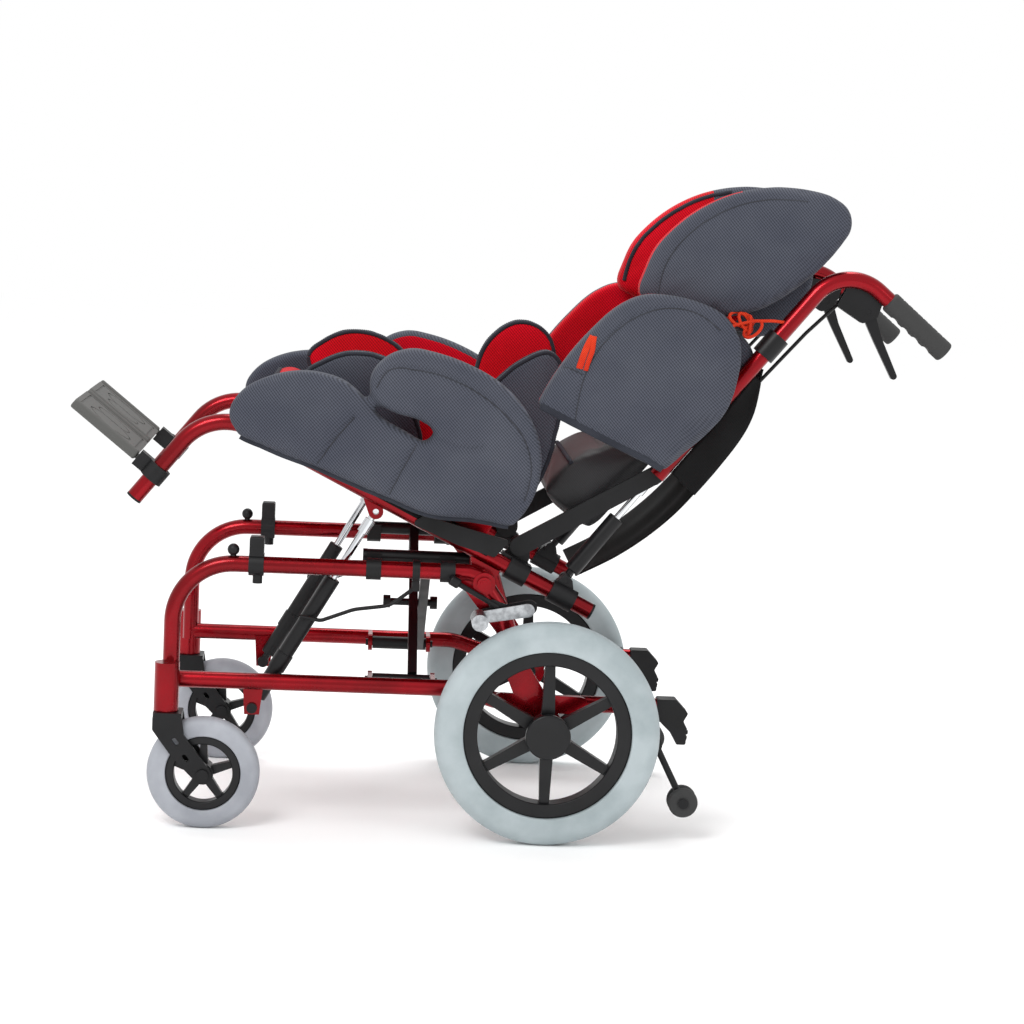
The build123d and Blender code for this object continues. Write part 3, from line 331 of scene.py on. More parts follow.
@dataclass(frozen=True)
class Knit(Finish):
    """Fabric with two crossing sets of threads; a second colour may take its inner part."""

    thread_mm: float = 3.0
    height_mm: float = 0.5
    second_shade: str = ""
    second_light: str = ""
    split_y: float = 0.0
    split_line: tuple[float, float, float] | None = None

    def threads(self, tree: Any, spot: Any, turn_deg: float) -> Any:
        """Height of one set of threads.

        Args:
            tree: node tree.
            spot: coordinates that the threads follow.
            turn_deg: how far the threads are turned about Y.

        Returns:
            The height's socket, from 0 to 1.
        """
        turned = add_node(
            tree,
            "ShaderNodeMapping",
            {"Rotation": (math.radians(18.0), math.radians(turn_deg), math.radians(24.0))},
            {"Vector": spot},
        )
        wave = add_node(
            tree,
            "ShaderNodeTexWave",
            {"Scale": waves_for(self.thread_mm), "Distortion": 0.6, "Detail": 1.0, "Detail Scale": 0.5},
            {"Vector": turned.outputs[0]},
        )
        return wave.outputs[1]

    def inner_part(self, tree: Any, spot: Any) -> Any:
        """1 where the second colour is: nearer the middle than split_y, and before split_line."""
        axes = add_node(tree, "ShaderNodeSeparateXYZ", links={0: spot})
        width = add_node(tree, "ShaderNodeMath", {"operation": "ABSOLUTE"}, {0: axes.outputs[1]})
        inside = add_node(
            tree, "ShaderNodeMath", {"operation": "LESS_THAN", 1: self.split_y * MM}, {0: width.outputs[0]}
        ).outputs[0]
        if self.split_line is None:
            return inside
        x_part, z_part, limit = self.split_line
        rise = add_node(
            tree, "ShaderNodeMath", {"operation": "MULTIPLY", 1: z_part}, {0: axes.outputs[2]}
        )
        run = add_node(
            tree,
            "ShaderNodeMath",
            {"operation": "MULTIPLY_ADD", 1: x_part},
            {0: axes.outputs[0], 2: rise.outputs[0]},
        )
        before = add_node(
            tree,
            "ShaderNodeMath",
            {"operation": "LESS_THAN", 1: limit * MM + x_part * AXLE_X},
            {0: run.outputs[0]},
        )
        both = add_node(
            tree, "ShaderNodeMath", {"operation": "MULTIPLY"}, {0: inside, 1: before.outputs[0]}
        )
        return both.outputs[0]

    def dress(self, tree: Any, shader: Any, spot: Any) -> None:
        """Threads as bump, and as painted shade that darkens the colour in the gaps between them, over a slow
        drift of the dye.
        """
        first = self.threads(tree, spot, 38.0)
        second = self.threads(tree, spot, -52.0)
        cross = add_node(
            tree, "ShaderNodeMath", {"operation": "MULTIPLY_ADD", 1: 0.35}, {0: second, 2: first}
        ).outputs[0]
        colour = self.mottled(tree, spot, self.shade, self.light)
        if self.second_shade:
            inner = self.mottled(tree, spot, self.second_shade, self.second_light)
            colour = add_node(
                tree,
                "ShaderNodeMix",
                {"data_type": "RGBA"},
                {0: self.inner_part(tree, spot), 6: colour, 7: inner},
            ).outputs[2]
        # Painted shade: the colour is darkened to 0.42 in the gaps between the threads, where shade falls in
        # a real weave.
        gap_painted_shade = add_node(tree, "ShaderNodeMapRange", {1: 0.1, 2: 1.1, 3: 0.42, 4: 1.0}, {0: cross})
        shaded = add_node(
            tree,
            "ShaderNodeMix",
            {"data_type": "RGBA", "blend_type": "MULTIPLY", 0: 1.0},
            {6: colour, 7: gap_painted_shade.outputs[0]},
        )
        tree.links.new(shaded.outputs[2], shader.inputs["Base Color"])
        bump = add_node(
            tree, "ShaderNodeBump", {"Strength": 0.35, "Distance": self.height_mm * MM}, {"Height": cross}
        )
        tree.links.new(bump.outputs[0], shader.inputs["Normal"])


# Candy enamel over steel tube: a clear coat over a bright base gives the deep red its white edge light.
CANDY_ENAMEL = Grained(
    "candy_enamel", "#74000a", "#8c0010", 0.28, mottle_mm=90.0, metallic=0.88, coat=0.22, grain_mm=2.5,
    height_mm=0.02,
)
# Powder coat on steel: an even fine texture that spreads the highlight.
POWDER_COAT = Grained("black_powder_coat", "#08080a", "#0f0f11", 0.4, ior=1.35, grain_mm=0.9, height_mm=0.06)
# Moulded nylon: slightly grey black with a soft moulded grain.
MOULDED_NYLON = Grained("moulded_nylon", "#0a0a0b", "#131315", 0.48, ior=1.35, grain_mm=1.4, height_mm=0.07)
# Glass-filled nylon wheel centre: black with a satin shine.
WHEEL_NYLON = Grained(
    "glass_filled_nylon", "#08080a", "#101012", 0.36, ior=1.38, grain_mm=1.8, height_mm=0.05
)
# Footplate nylon: scuffed grey black.
FOOTPLATE_NYLON = Grained(
    "footplate_nylon", "#0e0e0d", "#181817", 0.6, ior=1.4, mottle_mm=25.0, grain_mm=1.0, height_mm=0.1
)
# Thermoplastic rubber of the grips and small wheels: matt, almost no shine.
GRIP_RUBBER = Grained("grip_rubber", "#0c0c0d", "#151516", 0.62, ior=1.35, grain_mm=0.8, height_mm=0.08)
# Solid polyurethane tyres, pale blue grey at the back and a warmer grey at the front.
REAR_TYRE = SolidTyre("grey_solid_tyre", "#939ea1", "#a6b0b3", 0.6)
CASTER_TYRE = SolidTyre("caster_solid_tyre", "#8d9097", "#a0a3aa", 0.6, ring_mm=3.5)
# Hard chrome on ground rod: a near mirror with a trace of the grinding.
HARD_CHROME = Grained(
    "hard_chrome", "#c9ccd0", "#e2e4e6", 0.12, metallic=1.0, grain_mm=1.5, height_mm=0.004, gloss_drift=0.04
)
# Zinc plate: dull bright steel with cloudy patches.
ZINC_PLATE = Grained(
    "zinc_plate", "#8f9194", "#b7babd", 0.32, mottle_mm=8.0, metallic=1.0, grain_mm=0.8, height_mm=0.01
)
# Warp-knitted spacer mesh over foam. Its threads are about 1.5 mm apart; they are drawn at twice
# that so that they show.
MESH = dict(shade="#484b56", light="#52555f", roughness=0.85, mottle_mm=120.0, ior=1.25, sheen=0.05)
RED_DYE = dict(second_shade="#c60014", second_light="#dc0020")
# Brushed red knit: fine threads under a short nap, so it glows at its edges.
RED_KNIT = Knit(
    "red_brushed_knit", "#c60014", "#dc0020", 0.85, mottle_mm=90.0, ior=1.25, sheen=0.04, thread_mm=2.2,
    height_mm=0.25,
)
# Woven nylon sling cloth.
SLING_CLOTH = Knit(
    "black_woven_nylon", "#09090a", "#101012", 0.75, ior=1.3, sheen=0.02, thread_mm=2.5, height_mm=0.4
)
# Grosgrain binding of the pads.
BINDING = Knit("grey_grosgrain", "#2b2d36", "#363942", 0.8, ior=1.3, sheen=0.03, thread_mm=1.6, height_mm=0.3)
# Sewing thread in the seams.
THREAD = Grained("sewing_thread", "#26272d", "#31333a", 0.8, grain_mm=1.0, height_mm=0.1)
# Orange webbing of the pull tabs.
PULL_WEBBING = Knit(
    "orange_webbing", "#d22c0a", "#e8421a", 0.7, ior=1.3, sheen=0.04, thread_mm=1.8, height_mm=0.3
)


def two_tone(label: str, split_y: float, line: tuple[float, float, float] | None = None) -> Knit:
    """Spacer mesh whose part nearer the chair's middle is red.

    Args:
        label: the material's name.
        split_y: distance from the middle plane where red turns to grey.
        line: X part, Z part and limit of a line that the red stays before.

    Returns:
        The finish.
    """
    return Knit(label, **MESH, **RED_DYE, split_y=split_y, split_line=line)


# ------------------------------------------------------------------------------------ mesh tools
def new_piece(name: str, mesh: bpy.types.Mesh, finish: Finish) -> bpy.types.Object:
    """Puts a mesh in the scene as a smooth-shaded piece.

    Args:
        name: the piece's name.
        mesh: its mesh, in metres.
        finish: what it is made of.

    Returns:
        The new object.
    """
    mesh.materials.clear()
    mesh.materials.append(finish.material())
    mesh.shade_smooth()
    piece = bpy.data.objects.new(name, mesh)
    bpy.context.scene.collection.objects.link(piece)
    return piece


def mirrored(mesh: bpy.types.Mesh, name: str) -> bpy.types.Mesh:
    """Copy of a mesh on the other side of the middle plane."""
    copy = mesh.copy()
    copy.name = name
    copy.transform(Matrix.Scale(-1, 4, Vector((0, 1, 0))))
    copy.flip_normals()
    return copy


def smooth_run(
    points: Sequence[Point], step: float, closed: bool, corners: Sequence[int] = ()
) -> list[Point]:
    """Points along a smooth line through the given ones.

    Args:
        points: points as pairs of millimetres.
        step: distance between the new points.
        closed: whether the last point joins the first.
        corners: numbers of the points where the line turns sharply.

    Returns:
        The new points; a closed line doesn't repeat its first.
    """
    count = len(points)
    spots = [np.array(p, float) for p in points]
    run: list[Point] = []
    for i in range(count if closed else count - 1):
        a, b = spots[i], spots[(i + 1) % count]
        before = spots[i - 1] if (closed or i > 0) else a
        after = spots[(i + 2) % count] if (closed or i + 2 < count) else b
        reach = np.linalg.norm(b - a)
        leave = (b - a) if i in corners else _heading(before, a, b) * reach
        arrive = (b - a) if (i + 1) % count in corners else _heading(a, b, after) * reach
        pieces = max(1, round(reach / step))
        for k in range(pieces):
            t = k / pieces
            spot = (
                (2 * t**3 - 3 * t**2 + 1) * a
                + (t**3 - 2 * t**2 + t) * leave
                + (3 * t**2 - 2 * t**3) * b
                + (t**3 - t**2) * arrive
            )
            run.append((float(spot[0]), float(spot[1])))
    if not closed:
        run.append((float(spots[-1][0]), float(spots[-1][1])))
    return run


def _heading(before: np.ndarray, here: np.ndarray, after: np.ndarray) -> np.ndarray:
    """Unit direction of a smooth line at a point, leaning to the nearer neighbour."""
    first, last = here - before, after - here
    near, far = np.linalg.norm(first), np.linalg.norm(last)
    lean = first * far / max(near, 1e-6) + last * near / max(far, 1e-6)
    return lean / max(np.linalg.norm(lean), 1e-6)


def tube_mesh(name: str, path: Path3, radius: float, rib: float = 0.0, rib_pitch: float = 2.4,
              flat: float = 1.0, up: Vector | None = None) -> bpy.types.Mesh:
    """Closed tube along a path.

    Args:
        name: the mesh's name.
        path: points in metres.
        radius: its radius in millimetres.
        rib: how far ribs stand out, as a share of the radius.
        rib_pitch: distance from rib to rib in millimetres.
        flat: thickness over width, under 1 for a tape.
        up: direction of the tape's thin way.

    Returns:
        The mesh.
    """
    if rib:
        path = resampled(path, rib_pitch / 2 * MM)
    bm = bmesh.new()
    sides = 10
    rings = []
    last_out = None
    for i, spot in enumerate(path):
        ahead = path[min(i + 1, len(path) - 1)] - path[max(i - 1, 0)]
        ahead.normalize()
        out = (up if up is not None else (last_out or Vector((0, 1, 0)))).copy()
        out = (out - ahead * out.dot(ahead))
        if out.length < 1e-6:
            out = ahead.orthogonal()
        out.normalize()
        last_out = out
        across = ahead.cross(out)
        size = radius * MM * (1 + (rib if i % 2 else -rib))
        ring = []
        for k in range(sides):
            turn = 2 * math.pi * k / sides
            sideways = across * math.cos(turn) * size
            ring.append(bm.verts.new(spot + sideways + out * math.sin(turn) * size * flat))
        rings.append(ring)
    for a, b in zip(rings, rings[1:]):
        for k in range(sides):
            bm.faces.new((a[k], a[(k + 1) % sides], b[(k + 1) % sides], b[k]))
    bm.faces.new(list(reversed(rings[0])))
    bm.faces.new(rings[-1])
    bmesh.ops.recalc_face_normals(bm, faces=bm.faces)
    mesh = bpy.data.meshes.new(name)
    bm.to_mesh(mesh)
    bm.free()
    return mesh


def resampled(path: Path3, step: float) -> Path3:
    """The same path with evenly spaced points, a step apart in metres."""
    out = [path[0].copy()]
    left = step
    for a, b in zip(path, path[1:]):
        length = (b - a).length
        done = 0.0
        while length - done >= left and length > 0:
            done += left
            out.append(a.lerp(b, done / length))
            left = step
        left -= length - done
    return out


def joined(name: str, meshes: Sequence[bpy.types.Mesh]) -> bpy.types.Mesh:
    """One mesh that holds several."""
    bm = bmesh.new()
    for mesh in meshes:
        bm.from_mesh(mesh)
    out = bpy.data.meshes.new(name)
    bm.to_mesh(out)
    bm.free()
    return out


def path_in_plane(points: Sequence[Point], y: float, step: float = 5.0, closed: bool = False,
                  corners: Sequence[int] = ()) -> Path3:
    """Smooth path through points of one vertical plane, in metres."""
    run = smooth_run(points, step, closed, corners)
    if closed:
        run.append(run[0])
    return [place(x, y, z) for x, z in run]


# --------------------------------------------------------------------------------------- padding
@dataclass
class Pad:
    """A foam pad in a sewn cover, drawn as an outline in X and Z between two Y values.

    The cover is swelled by cloth simulation with its seams held, so that it crowns between them.
    """

    name: str
    outline: list[Point]
    y_low: float
    y_high: float
    finish: Finish
    corners: tuple[int, ...] = ()
    round_r: float = 12.0
    inset: float = 2.0
    swell: float = 9.0
    pressure: float = 4.0
    seams: list[Path3] = field(default_factory=list)
    grooves: list[Path3] = field(default_factory=list)
    groove_mm: float = 2.5
    flat_low: bool = False
    flat_high: bool = False
    voxel: float = 5.0
    slot: str = "grey_mesh_fabric"

    def block(self) -> bpy.types.Mesh:
        """Plain block with rounded edges, a little smaller than the pad."""
        loop = smooth_run(self.outline, 6.0, True, self.corners)
        bm = bmesh.new()
        low = [bm.verts.new(place(x, self.y_low + self.inset, z)) for x, z in loop]
        high = [bm.verts.new(place(x, self.y_high - self.inset, z)) for x, z in loop]
        count = len(loop)
        rims = [bm.faces.new(low), bm.faces.new(list(reversed(high)))]
        for i in range(count):
            j = (i + 1) % count
            bm.faces.new((low[j], low[i], high[i], high[j]))
        bmesh.ops.recalc_face_normals(bm, faces=bm.faces)
        edges = {e for f in rims for e in f.edges}
        bmesh.ops.bevel(
            bm, geom=list(edges), offset=self.round_r * MM, segments=4, profile=0.55, affect="EDGES",
            clamp_overlap=True,
        )
        bmesh.ops.triangulate(bm, faces=[f for f in bm.faces if len(f.verts) > 4])
        mesh = bpy.data.meshes.new(self.name)
        bm.to_mesh(mesh)
        bm.free()
        return mesh

    def remeshed(self, mesh: bpy.types.Mesh) -> bpy.types.Object:
        """The block as an even net of small squares, as a scratch object."""
        scratch = bpy.data.objects.new(self.name + "_scratch", mesh)
        bpy.context.scene.collection.objects.link(scratch)
        remesh = scratch.modifiers.new("Remesh", "REMESH")
        remesh.mode = "VOXEL"
        remesh.voxel_size = self.voxel * MM
        smooth = scratch.modifiers.new("Smooth", "SMOOTH")
        smooth.factor = 0.5
        smooth.iterations = 5
        scratch.data = baked(scratch)
        scratch.modifiers.clear()
        return scratch

    def held(self, spots: np.ndarray) -> np.ndarray:
        """Which points stay put while the cover swells: those by a seam or on a flat face."""
        paths = self.seams + self.grooves
        still = np.zeros(len(spots), bool)
        for path in paths:
            still |= distance_to(path, spots) < 0.8 * self.voxel * MM
        if self.flat_low:
            still |= spots[:, 1] < (self.y_low + self.inset + 1.5) * MM
        if self.flat_high:
            still |= spots[:, 1] > (self.y_high - self.inset - 1.5) * MM
        return still

    def swelled(self, scratch: bpy.types.Object) -> None:
        """Swells the scratch object's cover by cloth simulation."""
        rest = coordinates(scratch.data)
        still = self.held(rest)
        group = scratch.vertex_groups.new(name="held")
        group.add([int(i) for i in np.flatnonzero(still)], 1.0, "REPLACE")
        cloth = scratch.modifiers.new("Cloth", "CLOTH")
        cloth.settings.quality = 4
        cloth.settings.use_pressure = True
        cloth.settings.uniform_pressure_force = self.pressure
        cloth.settings.effector_weights.gravity = 0.0
        cloth.settings.vertex_group_mass = group.name
        cloth.point_cache.frame_start = 1
        cloth.point_cache.frame_end = CLOTH_FRAMES
        for number in range(1, CLOTH_FRAMES + 1):
            bpy.context.scene.frame_set(number)
        bpy.context.view_layer.update()
        shape = scratch.evaluated_get(bpy.context.evaluated_depsgraph_get()).data
        move = coordinates(shape) - rest
        length = np.linalg.norm(move, axis=1)
        cap = self.swell * MM
        share = np.where(length > 1e-9, cap * np.tanh(length / cap) / np.maximum(length, 1e-9), 0.0)
        spots = rest + move * share[:, None]
        scratch.modifiers.clear()
        spots[:, 1] = np.clip(spots[:, 1], (self.y_low - self.over(self.flat_low)) * MM,
                              (self.y_high + self.over(self.flat_high)) * MM)
        write_coordinates(scratch.data, spots)
        bpy.context.scene.frame_set(1)

    def over(self, flat: bool) -> float:
        """How far a face may swell past the pad's own size, in millimetres."""
        return -0.2 if flat else self.swell * 0.6

    def grooved(self, mesh: bpy.types.Mesh) -> None:
        """Draws the cover in along its seams."""
        paths = self.seams + self.grooves
        if not paths:
            return
        spots = coordinates(mesh)
        normals = np.zeros(len(mesh.vertices) * 3, np.float32)
        mesh.vertex_normals.foreach_get("vector", normals)
        normals = normals.reshape(-1, 3)
        width = 6.5 * MM
        near = np.full(len(spots), 1.0)
        for path in paths:
            near = np.minimum(near, distance_to(path, spots))
        depth = np.clip(1 - (near / width) ** 2, 0, 1) ** 2 * self.groove_mm * MM
        write_coordinates(mesh, spots - normals * depth[:, None])

    def cover(self) -> bpy.types.Mesh:
        """The finished cover's mesh."""
        scratch = self.remeshed(self.block())
        self.snap(scratch.data)
        self.swelled(scratch)
        scratch.vertex_groups.clear()
        fine = scratch.modifiers.new("Subdivision", "SUBSURF")
        fine.levels = fine.render_levels = 1
        mesh = baked(scratch)
        bpy.data.objects.remove(scratch)
        self.grooved(mesh)
        mesh.name = self.name
        return mesh

    def snap(self, mesh: bpy.types.Mesh) -> None:
        """Lays the seams on the cover, where the outline only gives their line."""
        tree = surface_of(mesh)
        self.seams = [laid_on(tree, path) for path in self.seams]
        self.grooves = [laid_on(tree, path) for path in self.grooves]


CLOTH_FRAMES = 14


def baked(piece: bpy.types.Object) -> bpy.types.Mesh:
    """A new mesh with the object's modifiers applied."""
    bpy.context.view_layer.update()
    return bpy.data.meshes.new_from_object(piece.evaluated_get(bpy.context.evaluated_depsgraph_get()))


def coordinates(mesh: bpy.types.Mesh) -> np.ndarray:
    """A mesh's points as rows of X, Y and Z."""
    flat = np.zeros(len(mesh.vertices) * 3, np.float32)
    mesh.vertices.foreach_get("co", flat)
    return flat.reshape(-1, 3).astype(float)


def write_coordinates(mesh: bpy.types.Mesh, spots: np.ndarray) -> None:
    """Moves a mesh's points."""
    mesh.vertices.foreach_set("co", spots.astype(np.float32).ravel())
    mesh.update()


def distance_to(path: Path3, spots: np.ndarray) -> np.ndarray:
    """Distance from each point to the nearest one of a path."""
    line = np.array([tuple(p) for p in resampled(path, 2.5 * MM)])
    best = np.full(len(spots), 1e9)
    for start in range(0, len(line), 64):
        gaps = np.linalg.norm(spots[:, None, :] - line[None, start : start + 64, :], axis=2)
        best = np.minimum(best, gaps.min(axis=1))
    return best


def surface_of(mesh: bpy.types.Mesh) -> BVHTree:
    """Search tree of a mesh's faces."""
    bm = bmesh.new()
    bm.from_mesh(mesh)
    tree = BVHTree.FromBMesh(bm)
    bm.free()
    return tree


def laid_on(tree: BVHTree, path: Path3, lift: float = 0.0) -> Path3:
    """The path laid on a surface.

    Args:
        tree: the surface.
        path: points near it, in metres.
        lift: height above the surface in millimetres.

    Returns:
        The new path.
    """
    out = []
    for spot in resampled(path, 3.0 * MM):
        hit, normal, _, _ = tree.find_nearest(spot)
        out.append(hit + normal * lift * MM)
    for _ in range(2):
        inner = [(a + b * 2 + c) / 4 for a, b, c in zip(out, out[1:], out[2:])]
        out = [out[0], *inner, out[-1]]
    return out


@dataclass
class Upholstery:
    """How covers are fixed to the frame's bodies."""

    fold_joint: str = "fold"
    fold_keep: float = 0.53
    fold_anchor_y: float = -175.0
    fill: float = 0.75

    def fix(self, piece: bpy.types.Object, body: str, nodes: Sequence[str] = (), folds: bool = False) -> None:
        """Makes a piece ride on a body.

        Args:
            piece: the piece, in place.
            body: the body that carries it.
            nodes: CAD nodes that it stands for.
            folds: whether it gets a mesh of its own.
        """
        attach(piece, body)
        if nodes:
            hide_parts(*nodes)
        if folds:
            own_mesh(piece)
        log.info("%s rides on %s", piece.name, body)

    def pair(self, name: str, mesh: bpy.types.Mesh, finish: Finish, body: str,
             node: str = "") -> None:
        """Puts the same piece on both sides of the chair.

        Args:
            name: its name without the side.
            mesh: the left one's mesh.
            finish: what it is made of.
            body: the body's name without the side.
            node: the CAD node's name without the side, if it stands for one.
        """
        right = mirrored(mesh, name)
        for side, shape in ((Side.LEFT, mesh), (Side.RIGHT, right)):
            piece = new_piece(f"{name}_{side.word}", shape, finish)
            nodes = [f"{node}_{side.word}"] if node else []
            self.fix(piece, f"{body}_{side.word}", nodes)


UPHOLSTERY = Upholstery()
GREY_SLOT, RED_SLOT, BLACK_SLOT = "grey_mesh_fabric", "red_fabric", "black_fabric"


@dataclass
class Trimmings:
    """Seam threads, ribbed piping and bindings laid on one cover."""

    cover: bpy.types.Mesh
    thread_r: float = 0.8
    piping_r: float = 3.0
    rib: float = 0.09
    rib_pitch: float = 3.0

    def __post_init__(self) -> None:
        """Keeps a search tree of the cover."""
        self.tree = surface_of(self.cover)

    def threads(self, name: str, paths: Sequence[Path3]) -> bpy.types.Mesh:
        """Sewing threads sunk in the seams."""
        return joined(
            name, [tube_mesh(name, laid_on(self.tree, path, -0.1), self.thread_r) for path in paths]
        )

    def piping(self, name: str, paths: Sequence[Path3]) -> bpy.types.Mesh:
        """Ribbed piping along edges."""
        tubes = [
            tube_mesh(name, laid_on(self.tree, path, 0.8), self.piping_r, self.rib, self.rib_pitch)
            for path in paths
        ]
        return joined(name, tubes)

    def binding(self, name: str, path: Path3, width: float, thickness: float = 0.22) -> bpy.types.Mesh:
        """Flat tape sewn over an edge."""
        line = laid_on(self.tree, path, 0.4)
        return tube_mesh(name, line, width / 2, flat=thickness, up=Vector((0, 1, 0)))


@dataclass
class SidePanels:
    """Padded side panels: a front lobe, and an armrest that curls over a slot."""

    y_outer: float = -239.0
    y_inner: float = -187.0
    outline: list[Point] = field(default_factory=lambda: [
        (-422, 528), (-436, 556), (-418, 588), (-390, 604), (-351, 615), (-316, 614), (-284, 604),
        (-258, 582), (-236, 558), (-206, 542), (-172, 531), (-166, 542), (-180, 555), (-222, 567),
        (-248, 584), (-253, 608), (-238, 634), (-205, 650), (-162, 645), (-122, 632), (-79, 609),
        (-42, 570), (-24, 526), (-25, 479), (-42, 440), (-58, 421), (-101, 429), (-170, 434),
        (-220, 452), (-316, 489), (-387, 514),
    ])
    arm_line: list[Point] = field(default_factory=lambda: [
        (-244, 598), (-232, 620), (-186, 623), (-130, 607), (-77, 573), (-45, 534), (-36, 500), (-44, 452),
    ])

    def build(self) -> None:
        """Builds both panels with their seams and bottom binding."""
        face = self.y_outer
        seams = [
            path_in_plane([(-318, 494), (-300, 522), (-270, 560)], face),
            path_in_plane([(-222, 458), (-206, 492), (-184, 534)], face),
        ]
        crease = path_in_plane([(-166, 534), (-140, 524), (-118, 522), (-98, 525)], face)
        arm = path_in_plane(self.arm_line, face)
        pad = Pad(
            "side_pad", self.outline, self.y_outer, self.y_inner,
            two_tone("side_panel_mesh", 190.0, (-1, 0, 252)), corners=(0, 25), round_r=17.0,
            grooves=[crease], seams=[*seams, arm], flat_high=True, swell=8.0,
        )
        cover = pad.cover()
        trims = Trimmings(cover)
        threads = trims.threads("side_seams", pad.seams)
        bottom = path_in_plane([(-420, 526), (-387, 513), (-316, 488), (-220, 451), (-170, 433), (-101, 428),
                                (-60, 420)], face + 12)
        hem = trims.binding("side_hem", bottom, 9.0, 0.3)
        UPHOLSTERY.pair("side_pad", cover, pad.finish, "seat", "side_cushion")
        UPHOLSTERY.pair("side_seams", threads, THREAD, "seat")
        UPHOLSTERY.pair("side_hem", hem, BINDING, "seat")


@dataclass
class InnerPads:
    """Thigh and hip pads that stand between the seat cushion and the side panels."""

    y_outer: float = -137.0
    y_inner: float = -101.0
    thigh_foot: list[Point] = field(default_factory=lambda: [
        (-190, 560), (-184, 506), CHAIR.seat(-140, 71), CHAIR.seat(-200, 73), CHAIR.seat(-250, 78),
    ])
    hip_foot: list[Point] = field(default_factory=lambda: [
        (4, 545), (-6, 498), (-28, 456), (-42, 444), (-66, 462), (-96, 520),
    ])
    thigh_tops: dict[Side, list[Point]] = field(default_factory=lambda: {
        Side.RIGHT: [(-345, 614), (-320, 639), (-292, 652), (-240, 648), (-203, 624)],
        Side.LEFT: [(-342, 604), (-318, 624), (-290, 636), (-240, 634), (-204, 612)],
    })
    hip_tops: dict[Side, list[Point]] = field(default_factory=lambda: {
        Side.RIGHT: [(-104, 600), (-86, 648), (-38, 678), (0, 662), (14, 625)],
        Side.LEFT: [(-104, 580), (-79, 611), (-46, 638), (-10, 650), (12, 615)],
    })

    def one(self, name: str, outline: list[Point], side: Side) -> None:
        """Builds one pad with ribbed piping round both faces.

        Args:
            name: the pad's name without its side.
            outline: its outline.
            side: the side that it stands on.
        """
        pad = Pad(
            name, outline, self.y_outer, self.y_inner, two_tone(f"{name}_mesh", 108.0),
            round_r=8.0, swell=6.0, pressure=4.5, groove_mm=1.0,
        )
        pad.seams = [path_in_plane(outline, y, closed=True) for y in (self.y_inner - 4.0, self.y_outer + 4.0)]
        cover = pad.cover()
        piping = Trimmings(cover).piping(f"{name}_piping", pad.seams)
        if side is Side.RIGHT:
            cover, piping = mirrored(cover, name), mirrored(piping, name)
        piece = new_piece(f"{name}_{side.word}", cover, pad.finish)
        UPHOLSTERY.fix(piece, f"seat_{side.word}", [f"inner_pads_{side.word}"])
        edge = new_piece(f"{name}_piping_{side.word}", piping, BINDING)
        UPHOLSTERY.fix(edge, f"seat_{side.word}")

    def build(self) -> None:
        """Builds all four pads; the left ones are pressed lower by use."""
        for side in Side:
            self.one("thigh_pad", self.thigh_tops[side] + self.thigh_foot, side)
            self.one("hip_pad", self.hip_tops[side] + self.hip_foot, side)


@dataclass
class TrunkPads:
    """Trunk side supports with a pull tab's pocket and a bound lower edge."""

    y_outer: float = -237.0
    y_inner: float = -187.0
    outline: list[Point] = field(default_factory=lambda: [
        (-32, 584), (-8, 628), (10, 655), (36, 686), (72, 720), (101, 734), (136, 735), (178, 727),
        (212, 710), (231, 682), (232, 633), (219, 584), (184, 545), (140, 502),
    ])
    seam: list[Point] = field(default_factory=lambda: [
        (18, 566), (29, 628), (50, 668), (90, 704), (134, 719), (176, 712), (206, 690),
    ])

    def build(self) -> None:
        """Builds both pads, their seams, hem and orange pull tab."""
        face = self.y_outer
        seam = path_in_plane(self.seam, face)
        pocket = path_in_plane([(-6, 640), (10, 634), (28, 626)], face + 4)
        pad = Pad(
            "trunk_cover", self.outline, self.y_outer, self.y_inner, two_tone("trunk_pad_mesh", 204.0),
            corners=(0, 13), round_r=16.0, seams=[seam, pocket], flat_high=True, swell=8.0, groove_mm=2.0,
        )
        cover = pad.cover()
        trims = Trimmings(cover)
        hem_line = path_in_plane([(-28, 584), (50, 545), (138, 504)], face + 3)
        hem = trims.binding("trunk_hem", hem_line, 13.0, 0.3)
        UPHOLSTERY.pair("trunk_cover", cover, pad.finish, "back", "trunk_pad")
        UPHOLSTERY.pair("trunk_seams", trims.threads("trunk_seams", pad.seams), THREAD, "back")
        UPHOLSTERY.pair("trunk_hem", hem, BINDING, "back")
        UPHOLSTERY.pair("trunk_pull", self.pull(trims), PULL_WEBBING, "back")
        UPHOLSTERY.pair("cane_pull", self.cane_pull(), PULL_WEBBING, "back")

    def pull(self, trims: Trimmings) -> bpy.types.Mesh:
        """Folded webbing tab that stands out of the pocket."""
        face = self.y_outer
        front = trims.binding("pull_front", path_in_plane([(20, 634), (26, 656), (35, 682)], face - 2), 9.0)
        rear_line = path_in_plane([(30, 632), (36, 655), (37, 680)], face - 2)
        rear = trims.binding("pull_rear", rear_line, 7.0, 0.35)
        return joined("trunk_pull", [front, rear])

    def cane_pull(self) -> bpy.types.Mesh:
        """Loops of round orange cord gathered behind the pad's upper corner."""
        loops = []
        for number in range(4):
            lean = math.radians(20 + 38 * number)
            middle = place(238 + 5 * number, -178 - 3 * number, 706 - 4 * number)
            path = []
            for step in range(25):
                turn = 2 * math.pi * step / 24
                wide, high = 17 * math.cos(turn) * MM, 9 * math.sin(turn) * MM
                path.append(middle + Vector((
                    wide * math.cos(lean), high * 0.5, wide * -0.55 * math.sin(lean) + high,
                )))
            loops.append(tube_mesh("loop", path, 2.2))
        tie = [(205, -180, 684), (228, -185, 698), (254, -187, 705), (280, -184, 706), (301, -178, 704)]
        loops.append(tube_mesh("tie", resampled([place(*spot) for spot in tie], 6.0 * MM), 2.2))
        return joined("cane_pull", loops)


